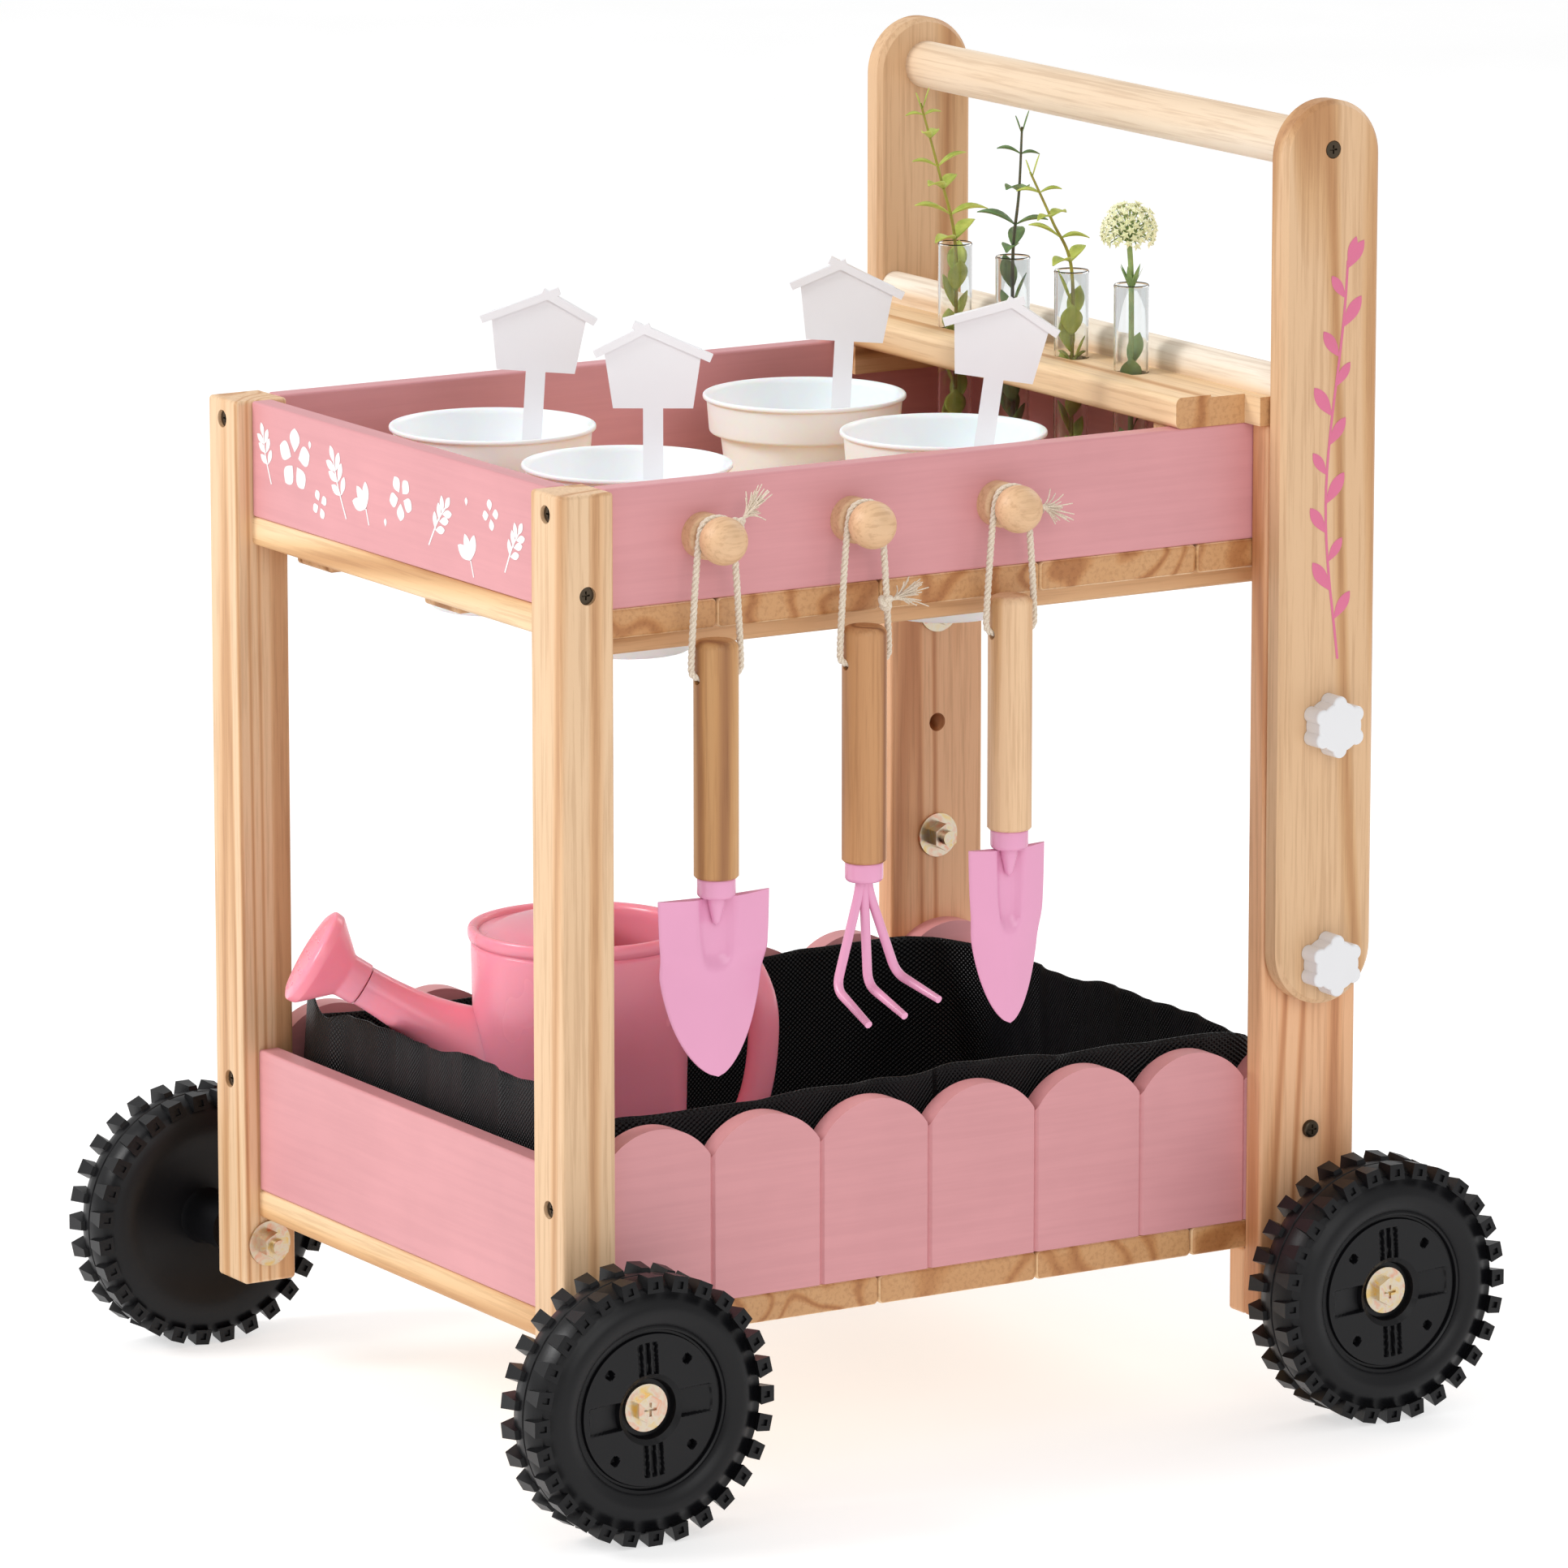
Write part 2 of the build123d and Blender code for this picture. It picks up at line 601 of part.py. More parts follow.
# ---- pots ----
def pot_radius(z):
    """Outside radius of a pot's tapered body at height z."""
    return POT_BODY_R - (pot_top_z - POT_COLLAR_HEIGHT - z) * POT_TAPER


def pot(x, y):
    """Thin-walled plant pot with a lip, a collar and a tapered body."""
    z0 = pot_foot_z
    step = pot_top_z - POT_COLLAR_HEIGHT
    foot = pot_radius(z0 + 8)
    t = POT_WALL
    outer = [
        (0, z0), (foot - 8, z0), (foot - 2.4, z0 + 2.4), (foot, z0 + 8),
        (POT_BODY_R, step), (POT_COLLAR_R - 1.5, step + 1.2), (POT_COLLAR_R, pot_top_z - 2.5),
        (POT_LIP_R, pot_top_z - 2.5), (POT_LIP_R, pot_top_z),
    ]
    inner = [
        (POT_COLLAR_R - t, pot_top_z), (POT_COLLAR_R - 1.5 - t, step + t), (POT_BODY_R - t, step + t),
        (foot - t, z0 + 8), (foot - 2.4 - t, z0 + 2.4 + t), (0, z0 + 2.4 + t),
    ]
    section = Plane.XZ * Polygon(*outer, *inner, align=None)
    return Pos(x, y, 0) * revolve(section, axis=Axis.Z)


# ---- name stakes ----
def stake(x, y, yaw, lean, flip):
    """House-shaped name stake: the stem stands on the pot's floor, the house above the rim."""
    foot_half = STAKE_STEM / 2 - 2
    corner_drop = foot_half * math.sin(math.radians(abs(lean)))
    foot_z = pot_foot_z + POT_FLOOR_RISE + POT_WALL + SOFT_GAP + corner_drop
    h = pot_top_z + STAKE_RISE - foot_z
    stem = Plane.XZ * Polygon(
        (-foot_half, 0), (foot_half, 0), (STAKE_STEM / 2, 8),
        (STAKE_STEM / 2, h + 2), (-STAKE_STEM / 2, h + 2), (-STAKE_STEM / 2, 8), align=None,
    )
    house = Plane.XZ * Polygon(
        (-20, h), (20, h), (24.5, h + 30), (3, h + 41), (-24.5, h + 30), align=None,
    )
    plate = extrude(stem + house, amount=STAKE_THICK / 2, both=True)
    roof = Plane.XZ * Polygon((-30, h + 27), (9, h + 44), (10.6, h + 40.4), (-28.4, h + 23.4), align=None)
    roof += Plane.XZ * Polygon((2, h + 43), (30, h + 29), (28.2, h + 25.4), (0.4, h + 39.4), align=None)
    plate += extrude(roof, amount=2.4, both=True)
    if flip:
        plate = mirror(plate, about=Plane.YZ)
    return Pos(x, y, foot_z) * Rot(0, 0, yaw) * Rot(0, lean, 0) * plate


# ---- glass tubes ----
def tube(x, y):
    """Round-bottomed glass tube with a small rolled lip."""
    z0 = deck_top_z + SOFT_GAP
    r = TUBE_R
    t = TUBE_WALL
    shell = Pos(x, y, z0 + r) * Sphere(r) + rod((x, y, z0 + r), r, TUBE_LENGTH - r, (0, 0, 1))
    hollow = Pos(x, y, z0 + r) * Sphere(r - t) + rod(
        (x, y, z0 + r), r - t, TUBE_LENGTH - r + 1, (0, 0, 1)
    )
    lip = rod((x, y, z0 + TUBE_LENGTH - 1.6), r + 0.25, 1.6, (0, 0, 1))
    return shell + lip - hollow


# ---- garden tools ----
tool_x = wall_x + ROPE_OUT


def grip(y, top_z):
    """Turned handle with a domed top and a cross hole for the rope."""
    body = rod((tool_x, y, top_z - GRIP_LENGTH), GRIP_R, GRIP_LENGTH, (0, 0, 1))
    body = fillet(body.edges().group_by(Axis.Z)[-1], 4.0)
    body = chamfer(body.edges().group_by(Axis.Z)[0], 1.0)
    hole = rod((tool_x, y - GRIP_R - 1, top_z - GRIP_HOLE_DROP), GRIP_HOLE_R, 2 * GRIP_R + 2, (0, 1, 0))
    return body - hole


def ferrule(y, z):
    """Steel collar under the handle, with a short tang."""
    ring = rod((tool_x, y, z - FERRULE_LENGTH), FERRULE_R, FERRULE_LENGTH, (0, 0, 1))
    ring = fillet(ring.edges().group_by(Axis.Z)[0], 1.5)
    return ring + rod((tool_x, y, z - FERRULE_LENGTH - 6), 4.0, 7.0, (0, 0, 1))


def trowel(y, z, width, length):
    """Dished blade with a pointed tip, welded to the ferrule."""
    half = width / 2
    top = z - FERRULE_LENGTH - 1.5
    with BuildSketch(Plane.YZ) as outline:
        with BuildLine():
            Line((y - half, top), (y + half, top))
            Spline((y + half, top), (y + half * 0.94, top - length * 0.36),
                   (y + half * 0.62, top - length * 0.76), (y, top - length))
            Spline((y, top - length), (y - half * 0.62, top - length * 0.76),
                   (y - half * 0.94, top - length * 0.36), (y - half, top))
        make_face()
    profile = extrude(Pos(tool_x - 20, 0, 0) * outline.sketch, amount=40, dir=(1, 0, 0))
    radius = half * 1.9
    axis_x = tool_x + 1.5 - radius
    outer = rod((axis_x, y, top - length - 1), radius, length + 2, (0, 0, 1))
    inner = rod((axis_x, y, top - length - 2), radius - BLADE_THICK, length + 4, (0, 0, 1))
    blade = profile & (outer - inner)
    return blade + ferrule(y, z)


def rake(y, z):
    """Three bent tines fanning out of the ferrule."""
    root_z = z - FERRULE_LENGTH - 1.0
    body = ferrule(y, z)
    for dy0, dy1, dy2, bend_z, tip_z, out in TINES:
        pts = [(tool_x, y + dy0, root_z + 3), (tool_x + 0.5, y + dy1, root_z - bend_z),
               (tool_x + out, y + dy2, root_z - tip_z)]
        path = FilletPolyline(*pts, radius=TINE_BEND)
        start = Plane(origin=path @ 0, z_dir=path % 0)
        body += sweep(start * Circle(TINE_R), path=path)
        body += Pos(*pts[-1]) * Sphere(TINE_R)
    return body


TINES = (
    # sideways at the collar, at the bend and at the tip; drop of bend and tip; reach outwards
    (-3.0, -16.5, -17.7, 52.0, 64.0, 33.0),
    (0.0, 2.0, 3.3, 52.0, 62.0, 33.0),
    (3.0, 18.5, 23.3, 48.0, 56.0, 33.0),
)

TOOLS = (
    # name, peg number, top of the grip
    ("wide_trowel", 0, peg_z - 50.1),
    ("hand_rake", 1, peg_z - 51.5),
    ("narrow_trowel", 2, peg_z - 44.5),
)


def rope_route(y, top_z):
    """Loop from the grip's hole, up over the peg's groove and back to the hole."""
    hole_z = top_z - GRIP_HOLE_DROP
    side = GRIP_R + ROPE_R + 1.4
    over = PEG_NECK_R + ROPE_R + ROPE_GAP
    corner = over * math.tan(math.radians(30))
    return [
        (tool_x, y + 3.0, hole_z), (tool_x, y + side - 0.6, hole_z), (tool_x, y + side, hole_z + 9.0),
        (tool_x, y + over, peg_z + corner * 0.2), (tool_x, y + over * 0.62, peg_z + over),
        (tool_x, y - over * 0.62, peg_z + over), (tool_x, y - over, peg_z + corner * 0.2),
        (tool_x, y - side, hole_z + 9.0), (tool_x, y - side + 0.6, hole_z), (tool_x, y - 3.0, hole_z),
    ]


def fillet_radii(points):
    """Largest tidy arc at each corner: 0.45 of the shorter run over the tangent of half the turn."""
    radii = []
    for a, b, c in zip(points, points[1:], points[2:]):
        first = Vector(b) - Vector(a)
        second = Vector(c) - Vector(b)
        turn = first.get_angle(second)
        radii.append(0.45 * min(first.length, second.length) / math.tan(math.radians(turn / 2)))
    return radii


def rope(name, y, top_z):
    points = rope_route(y, top_z)
    radii = fillet_radii(points)
    path = FilletPolyline(*points, radius=radii)
    start = Plane(origin=path @ 0, z_dir=path % 0)
    tube_solid = sweep(start * Circle(ROPE_R), path=path)
    ideal = math.pi * ROPE_R**2 * path.length
    print(name, "rope length", round(path.length, 1), "radii", [round(r, 1) for r in radii],
          "volume ratio", round(tube_solid.volume / ideal, 4))
    return tube_solid


# ---- watering can ----
def can_place(shape):
    return Pos(CAN_X, can_y, 0) * Rot(0, 0, CAN_SPOUT_ANGLE) * shape


def cone_between(a, b, r0, r1):
    """Solid cone frustum from a to b."""
    start = Vector(a)
    run = Vector(b) - start
    plane = Plane(origin=start, z_dir=run.normalized())
    return plane * Pos(0, 0, run.length / 2) * Cone(r0, r1, run.length)


def watering_can():
    z0 = FLOOR_TOP_Z + SOFT_GAP + LINER_WALL + SOFT_GAP
    height = can_top_z - z0
    t = CAN_WALL
    shell = Pos(0, 0, z0 + height / 2) * Cone(CAN_FOOT_R, CAN_R, height)
    shell = fillet(shell.edges().group_by(Axis.Z)[0], 4.0)
    shell += Pos(0, 0, can_top_z - 4) * Cylinder(CAN_R + 1.5, 8)
    spout = cone_between(spout_root, spout_end, SPOUT_ROOT_R, SPOUT_END_R)
    solid = shell + spout
    grip_path = FilletPolyline(
        *[(-out, 0, can_top_z - drop) for out, drop in CAN_HANDLE], radius=[13, 20, 26]
    )
    start = Plane(origin=grip_path @ 0, z_dir=grip_path % 0)
    solid += sweep(start * Circle(8.2), path=grip_path)
    hollow = Pos(0, 0, z0 + t + height / 2) * Cone(CAN_FOOT_R - t, CAN_R - t, height)
    hollow &= block((-90, 90), (-90, 90), (z0 + t, can_top_z - 3))
    mouth = Pos(0, 0, can_top_z) * Cylinder(CAN_R - 3.5, 14)
    mouth &= block((-90, 2), (-90, 90), (can_top_z - 8, can_top_z + 9))
    bore_end = tuple(Vector(spout_end) + spout_run * 2)
    bore = cone_between(spout_root, bore_end, SPOUT_ROOT_R - t, SPOUT_END_R - t)
    return can_place(solid - hollow - mouth - bore)


def can_rose():
    """Push-on sprinkler rose: sleeve, flare and domed face with holes."""
    base = Vector(spout_end) + spout_run * SIDE_CLEAR
    plane = Plane(origin=base, z_dir=spout_run)
    outer = Plane.XZ * Polygon(
        (0, 12), (8.6, 8), (8.6, 0), (11.4, 0), (11.6, 11), (24.5, 25), (25.5, 26), (26, 31),
        (22, 33), (12, 34.4), (0, 35), align=None,
    )
    body = revolve(outer, axis=Axis.Z)
    for ring, count in ((7, 5), (14, 9), (20, 13)):
        for i in range(count):
            a = 2 * math.pi * i / count
            body -= Pos(ring * math.cos(a), ring * math.sin(a), 33) * Cylinder(0.9, 8)
    return can_place(plane * body)


# ---- write every node ----
pot_places = {
    "front_left": (-POT_X, pot_front_y), "front_right": (POT_X, pot_front_y),
    "back_left": (-POT_X, pot_back_y), "back_right": (POT_X, pot_back_y),
}
stake_turns = {
    # yaw, lean, flipped, offset along the yaw line
    "front_left": (VIEW_YAW, 3.5, False, 15.0), "front_right": (VIEW_YAW, 0.0, True, 13.0),
    "back_left": (VIEW_YAW, 3.0, True, 14.5), "back_right": (VIEW_YAW, 8.0, False, 9.0),
}

post = front_post()
save("front_post_right", post)
save("front_post_left", mirrored(post))
plank = rear_plank()
save("rear_plank_right", plank)
save("rear_plank_left", mirrored(plank))
foot_block = leg_block()
save("rear_leg_blocks", [foot_block, mirrored(foot_block)])

pot_hole_r = pot_radius(deck_top_z) + POT_HOLE_CLEAR
save("deck_boards", boards(deck_top_z, [(x, y, pot_hole_r) for x, y in pot_places.values()]))
save("floor_boards", boards(FLOOR_TOP_Z))
save("deck_battens", [batten(x) for x in (-BATTEN_OFFSET, 0.0, BATTEN_OFFSET)])

tray_z = (deck_top_z, TRAY_TOP_Z)
box_z = (FLOOR_TOP_Z, FLOOR_TOP_Z + BOX_WALL_HEIGHT)
save("tray_front_wall", end_wall(wall_front_y, wall_front_y + PANEL, post_in, tray_z))
save("tray_back_wall", end_wall(wall_back_y, wall_back_y - PANEL, inner_x, tray_z))
tray_side = side_wall(tray_z)
save("tray_right_wall", tray_side)
save("tray_left_wall", mirrored(tray_side))
save("box_front_wall", end_wall(wall_front_y, wall_front_y + PANEL, post_in, box_z))
save("box_back_wall", end_wall(wall_back_y, wall_back_y - PANEL, inner_x, box_z))
fence = fence_wall()
save("box_right_fence", fence)
save("box_left_fence", mirrored(fence))
save("planter_liner", liner())

save("tube_rack", tube_rack())
save("rack_back_rail", rack_rail())
cleat = rack_cleat()
save("rack_cleats", [cleat, mirrored(cleat)])
plate = handle_side()
save("handle_side_right", plate)
save("handle_side_left", mirrored(plate))
save("handle_bar", handle_bar())
save("frame_screws", frame_screws())
save("tool_pegs", [peg(peg_first_y + i * PEG_PITCH) for i in range(len(TOOLS))])

axle_bolts, axle_washers, axle_nuts = axle_hardware()
studs, stud_washers, stud_nuts = adjuster_hardware()
save("axle_bolts", axle_bolts)
save("handle_studs", studs)
save("m8_washers", axle_washers + stud_washers)
save("m8_nuts", axle_nuts + stud_nuts)

moulded = wheel()
for end, y, turn in (("front", -axle_y, -5), ("rear", axle_y, 0)):
    right = Pos(0, y, axle_z) * Rot(turn * 360.0 / LUGS, 0, 0) * moulded
    save(f"wheel_{end}_right", right)
    save(f"wheel_{end}_left", mirrored(right))

for level, z in zip(("low", "high"), adjust_rows):
    knob = star_knob(z)
    save(f"star_knob_right_{level}", knob)
    save(f"star_knob_left_{level}", mirrored(knob))

for name, (x, y) in pot_places.items():
    save(f"pot_{name}", pot(x, y))
    yaw, lean, flip, offset = stake_turns[name]
    stake_x = x + offset * math.cos(math.radians(yaw))
    stake_y = y + offset * math.sin(math.radians(yaw))
    save(f"stake_{name}", stake(stake_x, stake_y, yaw, lean, flip))

for number, (x, y) in enumerate(tube_places(), start=1):
    save(f"glass_tube_{number}", tube(x, y))

for name, number, top_z in TOOLS:
    y = peg_first_y + number * PEG_PITCH
    foot = top_z - GRIP_LENGTH
    save(f"{name}_grip", grip(y, top_z))
    if name == "wide_trowel":
        head = trowel(y, foot, 64.0, 89.0)
    elif name == "narrow_trowel":
        head = trowel(y, foot, 45.0, 88.0)
    else:
        head = rake(y, foot)
    save(f"{name}_head", head)
    save(f"{name}_rope", rope(name, y, top_z))

save("watering_can", watering_can())
save("can_rose", can_rose())
print("nodes", len([f for f in os.listdir("parts") if f.endswith(".step")]))
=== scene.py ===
import math

import bmesh
import bpy
import numpy as np
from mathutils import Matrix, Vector


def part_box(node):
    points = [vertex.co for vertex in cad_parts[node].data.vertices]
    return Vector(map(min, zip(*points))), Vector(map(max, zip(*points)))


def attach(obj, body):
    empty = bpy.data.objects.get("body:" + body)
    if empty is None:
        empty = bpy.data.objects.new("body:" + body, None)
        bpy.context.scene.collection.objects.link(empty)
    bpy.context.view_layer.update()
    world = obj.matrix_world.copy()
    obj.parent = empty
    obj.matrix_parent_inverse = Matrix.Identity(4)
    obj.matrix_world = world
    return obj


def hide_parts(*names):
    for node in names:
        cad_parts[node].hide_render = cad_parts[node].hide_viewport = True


# A child's gardening push cart: pine frame with painted walls, moulded wheels, pots, glass
# tubes with sprigs, a watering can and three hand tools on rope loops.
# Shapes are worked out in millimetres and scaled to metres when they become meshes.

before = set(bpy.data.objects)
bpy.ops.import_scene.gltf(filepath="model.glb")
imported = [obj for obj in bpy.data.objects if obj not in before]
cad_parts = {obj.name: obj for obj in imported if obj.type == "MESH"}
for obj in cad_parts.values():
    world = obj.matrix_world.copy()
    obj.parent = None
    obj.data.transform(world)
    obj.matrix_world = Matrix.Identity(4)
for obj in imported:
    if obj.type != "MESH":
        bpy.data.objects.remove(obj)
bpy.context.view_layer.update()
MM = 0.001
TAU = 2 * math.pi


def low(node):
    """Lowest corner of a CAD node in millimetres."""
    return np.array(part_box(node)[0]) / MM


def high(node):
    """Highest corner of a CAD node in millimetres."""
    return np.array(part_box(node)[1]) / MM


def middle(node):
    """Centre of a CAD node's box in millimetres."""
    return (low(node) + high(node)) / 2


# ---------------------------------------------------------------- surfaces
class Patch:
    """Grid surfaces and loose faces collected into one mesh."""

    def __init__(self):
        self.verts = []
        self.faces = []
        self.uvs = []
        self.count = 0

    def grid(self, points, close_u=False, close_v=False, uv=None):
        """Quads between neighbours of points[u, v]; a closed direction wraps round."""
        nu, nv = points.shape[:2]
        index = np.arange(nu * nv).reshape(nu, nv) + self.count
        if close_u:
            index = np.vstack([index, index[:1]])
        if close_v:
            index = np.hstack([index, index[:, :1]])
        quads = np.stack([index[:-1, :-1], index[1:, :-1], index[1:, 1:], index[:-1, 1:]], -1)
        self.verts.append(points.reshape(-1, 3))
        self.faces += quads.reshape(-1, 4).tolist()
        flat = np.zeros((nu * nv, 2)) if uv is None else uv.reshape(-1, 2)
        self.uvs.append(flat)
        self.count += nu * nv
        return self

    def solid(self, verts, faces):
        """Loose vertices with their own faces."""
        verts = np.asarray(verts, float)
        self.verts.append(verts)
        self.uvs.append(np.zeros((len(verts), 2)))
        self.faces += [[i + self.count for i in face] for face in faces]
        self.count += len(verts)
        return self

    def fan(self, ring, centre):
        """Triangles from a closed ring of points to its centre."""
        n = len(ring)
        return self.solid(np.vstack([ring, [centre]]), [[i, (i + 1) % n, n] for i in range(n)])

    def build(self, name, material, body, slot=None, replaces=(), sharp=40.0, uv=False):
        """Make the piece, shade it, hide the nodes it replaces and hang it on its body."""
        mesh = bpy.data.meshes.new(name)
        mesh.from_pydata((np.vstack(self.verts) * MM).tolist(), [], self.faces)
        if uv:
            layer = mesh.uv_layers.new(name="pattern")
            loops = np.zeros(len(mesh.loops), np.int32)
            mesh.loops.foreach_get("vertex_index", loops)
            layer.data.foreach_set("uv", np.vstack(self.uvs)[loops].astype(np.float32).ravel())
        mesh.validate()
        piece = bpy.data.objects.new(name, mesh)
        bpy.context.scene.collection.objects.link(piece)
        tidy_normals(piece)
        mesh.shade_smooth()
        mesh.set_sharp_from_angle(angle=math.radians(sharp))
        mesh.materials.append(material)
        if replaces:
            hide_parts(*replaces)
        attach(piece, body)
        return piece


def tidy_normals(piece):
    """Merge doubled points, then turn every face outwards."""
    shell = bmesh.new()
    shell.from_mesh(piece.data)
    bmesh.ops.remove_doubles(shell, verts=shell.verts, dist=2e-6)
    bmesh.ops.recalc_face_normals(shell, faces=shell.faces)
    shell.to_mesh(piece.data)
    shell.free()


def smoothstep(x, low_edge, high_edge):
    """0 below one edge, 1 above the other, with a smooth S between them."""
    t = np.clip((x - low_edge) / (high_edge - low_edge), 0, 1)
    return t * t * (3 - 2 * t)


def rounded(points, radius, steps):
    """Polyline whose corners are quadratic curves that start a radius before each corner."""
    points = np.asarray(points, float)
    out = [points[0]]
    for a, b, c in zip(points, points[1:], points[2:]):
        into, away = b - a, c - b
        reach_in = min(radius, np.linalg.norm(into) * 0.45)
        reach_out = min(radius, np.linalg.norm(away) * 0.45)
        p = b - into / np.linalg.norm(into) * reach_in
        q = b + away / np.linalg.norm(away) * reach_out
        for t in np.linspace(0, 1, steps):
            out.append((1 - t) ** 2 * p + 2 * t * (1 - t) * b + t * t * q)
    out.append(points[-1])
    return np.array(out)


def lathe(profile, centre, steps):
    """Profile of (radius, height) turned round the upright line through centre."""
    profile = np.asarray(profile, float)
    a = np.linspace(0, TAU, steps, endpoint=False)[:, None]
    r, h = profile[None, :, 0], profile[None, :, 1]
    up = np.broadcast_to(h, (steps, len(profile)))
    return np.stack([r * np.cos(a), r * np.sin(a), up], -1) + np.asarray(centre, float)


def frames(path):
    """Unit normals and binormals carried along a path without twisting about it."""
    path = np.asarray(path, float)
    tangent = np.gradient(path, axis=0)
    tangent /= np.linalg.norm(tangent, axis=1, keepdims=True)
    first = np.cross(tangent[0], [0.3, 0.2, 0.93])
    normals = [first / np.linalg.norm(first)]
    for t in tangent[1:]:
        n = normals[-1] - t * np.dot(normals[-1], t)
        normals.append(n / np.linalg.norm(n))
    normals = np.array(normals)
    return tangent, normals, np.cross(tangent, normals)


def tube(path, radius, sides, squash=1.0):
    """Circle of the given radius, or of one radius per point, carried along path; ends are closed."""
    path = np.asarray(path, float)
    radius = np.broadcast_to(np.asarray(radius, float), len(path)).copy()
    _, normal, binormal = frames(path)
    ends = np.vstack([path[:1], path, path[-1:]])
    radius = np.concatenate([[1e-4], radius, [1e-4]])[:, None, None]
    normal = np.vstack([normal[:1], normal, normal[-1:]])[:, None]
    binormal = np.vstack([binormal[:1], binormal, binormal[-1:]])[:, None]
    a = np.linspace(0, TAU, sides, endpoint=False)[None, :, None]
    return ends[:, None] + radius * (np.cos(a) * normal + squash * np.sin(a) * binormal)


def smooth_path(points, count):
    """Catmull-Rom curve through the points."""
    p = np.asarray(points, float)
    p = np.vstack([2 * p[0] - p[1], p, 2 * p[-1] - p[-2]])
    t = np.linspace(0, len(p) - 3 - 1e-9, count)
    i = t.astype(int)
    f = (t - i)[:, None]
    a, b, c, d = p[i], p[i + 1], p[i + 2], p[i + 3]
    return 0.5 * (2 * b + (c - a) * f + (2 * a - 5 * b + 4 * c - d) * f**2 + (3 * b - a - 3 * c + d) * f**3)


# ---------------------------------------------------------------- materials
class Finish:
    """A procedural material; each call adds one node and links what it is given."""

    def __init__(self, name, **sockets):
        self.material = bpy.data.materials.new(name)
        self.material.use_nodes = True
        self.tree = self.material.node_tree
        self.bsdf = self.tree.nodes["Principled BSDF"]
        self.set(self.bsdf, sockets)

    def set(self, node, sockets):
        for key, value in sockets.items():
            socket = node.inputs[key.replace("_", " ")] if isinstance(key, str) else node.inputs[key]
            if isinstance(value, bpy.types.NodeSocket):
                self.tree.links.new(value, socket)
            else:
                socket.default_value = value

    def add(self, kind, **sockets):
        node = self.tree.nodes.new(kind)
        self.set(node, sockets)
        return node

    def coords(self, scale=(1, 1, 1), place=(0, 0, 0), source="Object"):
        where = self.add("ShaderNodeTexCoord").outputs[source]
        mapping = self.add("ShaderNodeMapping", Vector=where, Scale=scale, Location=place)
        return mapping.outputs["Vector"]

    def noise(self, vector, scale, detail, rough=0.55, distortion=0.0):
        node = self.add("ShaderNodeTexNoise", Vector=vector, Scale=scale, Detail=detail,
                        Roughness=rough, Distortion=distortion)
        return node.outputs["Fac"]

    def math(self, operation, a, b=0.0):
        node = self.tree.nodes.new("ShaderNodeMath")
        node.operation = operation
        self.set(node, {0: a, 1: b})
        return node.outputs[0]

    def ramp(self, fac, *stops):
        node = self.add("ShaderNodeValToRGB", Fac=fac)
        elements = node.color_ramp.elements
        while len(elements) < len(stops):
            elements.new(0.5)
        for element, (place, colour) in zip(elements, stops):
            element.position = place
            element.color = (*colour, 1)
        return node.outputs["Color"]

    def mix(self, fac, a, b, blend="MIX"):
        node = self.tree.nodes.new("ShaderNodeMix")
        node.data_type = "RGBA"
        node.blend_type = blend
        self.set(node, {0: fac, 6: a, 7: b})
        return node.outputs[2]

    def bump(self, height, strength, distance):
        node = self.add("ShaderNodeBump", Height=height, Strength=strength, Distance=distance)
        self.tree.links.new(node.outputs["Normal"], self.bsdf.inputs["Normal"])

    def colour(self, value):
        self.set(self.bsdf, {"Base Color": value})


def tint(r, g, b):
    """Linear colour from the display values 0 to 255."""
    c = np.array([r, g, b]) / 255
    return tuple(float(v) for v in np.where(c <= 0.04045, c / 12.92, ((c + 0.055) / 1.055) ** 2.4))


def grain(along, share):
    """Pattern scale for a pattern drawn out along one axis: the share there, 1 across it."""
    return tuple(share if axis == along else 1 for axis in "xyz")


def wood(name, along, pale, warm, dark, shift, ring=38.0, long=0.03, end=False):
    """Sawn wood: growth rings are level lines of a drawn-out noise, crossed by fine fibres.

    shift picks another part of the log, ring sets how many rings there are, long how far
    they run, and end darkens the sawn faces that look along x.
    """
    f = Finish(name, Roughness=0.5)
    place = (shift, shift * 1.7, shift * 0.6)
    body = f.noise(f.coords(grain(along, long), place), 9.0, 2.0, 0.5, 0.25)
    wave = f.math("SINE", f.math("MULTIPLY", body, ring * 2.2))
    rings = f.math("ADD", f.math("MULTIPLY", wave, 0.5), 0.5)
    fibre = f.noise(f.coords(grain(along, 0.03), place), 420.0, 5.0, 0.65)
    tone = f.noise(f.coords(grain(along, 0.07), place), 22.0, 3.0, 0.6)
    base = f.ramp(rings, (0.0, pale), (0.55, pale), (0.85, warm), (1.0, dark))
    base = f.mix(f.ramp(tone, (0.4, (0, 0, 0)), (0.8, (0.6, 0.6, 0.6))), base, (*warm, 1))
    streak = f.ramp(fibre, (0.38, (0.7, 0.62, 0.55)), (0.52, (1, 1, 1)))
    base = f.mix(0.5, base, streak, "MULTIPLY")
    if end:
        normal = f.add("ShaderNodeNewGeometry").outputs["Normal"]
        facing = f.add("ShaderNodeSeparateXYZ", Vector=normal)
        cut = f.math("GREATER_THAN", f.math("ABSOLUTE", facing.outputs[0]), 0.7)
        base = f.mix(f.math("MULTIPLY", cut, 0.85), base, (0.62, 0.42, 0.26, 1), "MULTIPLY")
    f.colour(base)
    f.bump(fibre, 0.35, 0.0004)
    return f.material


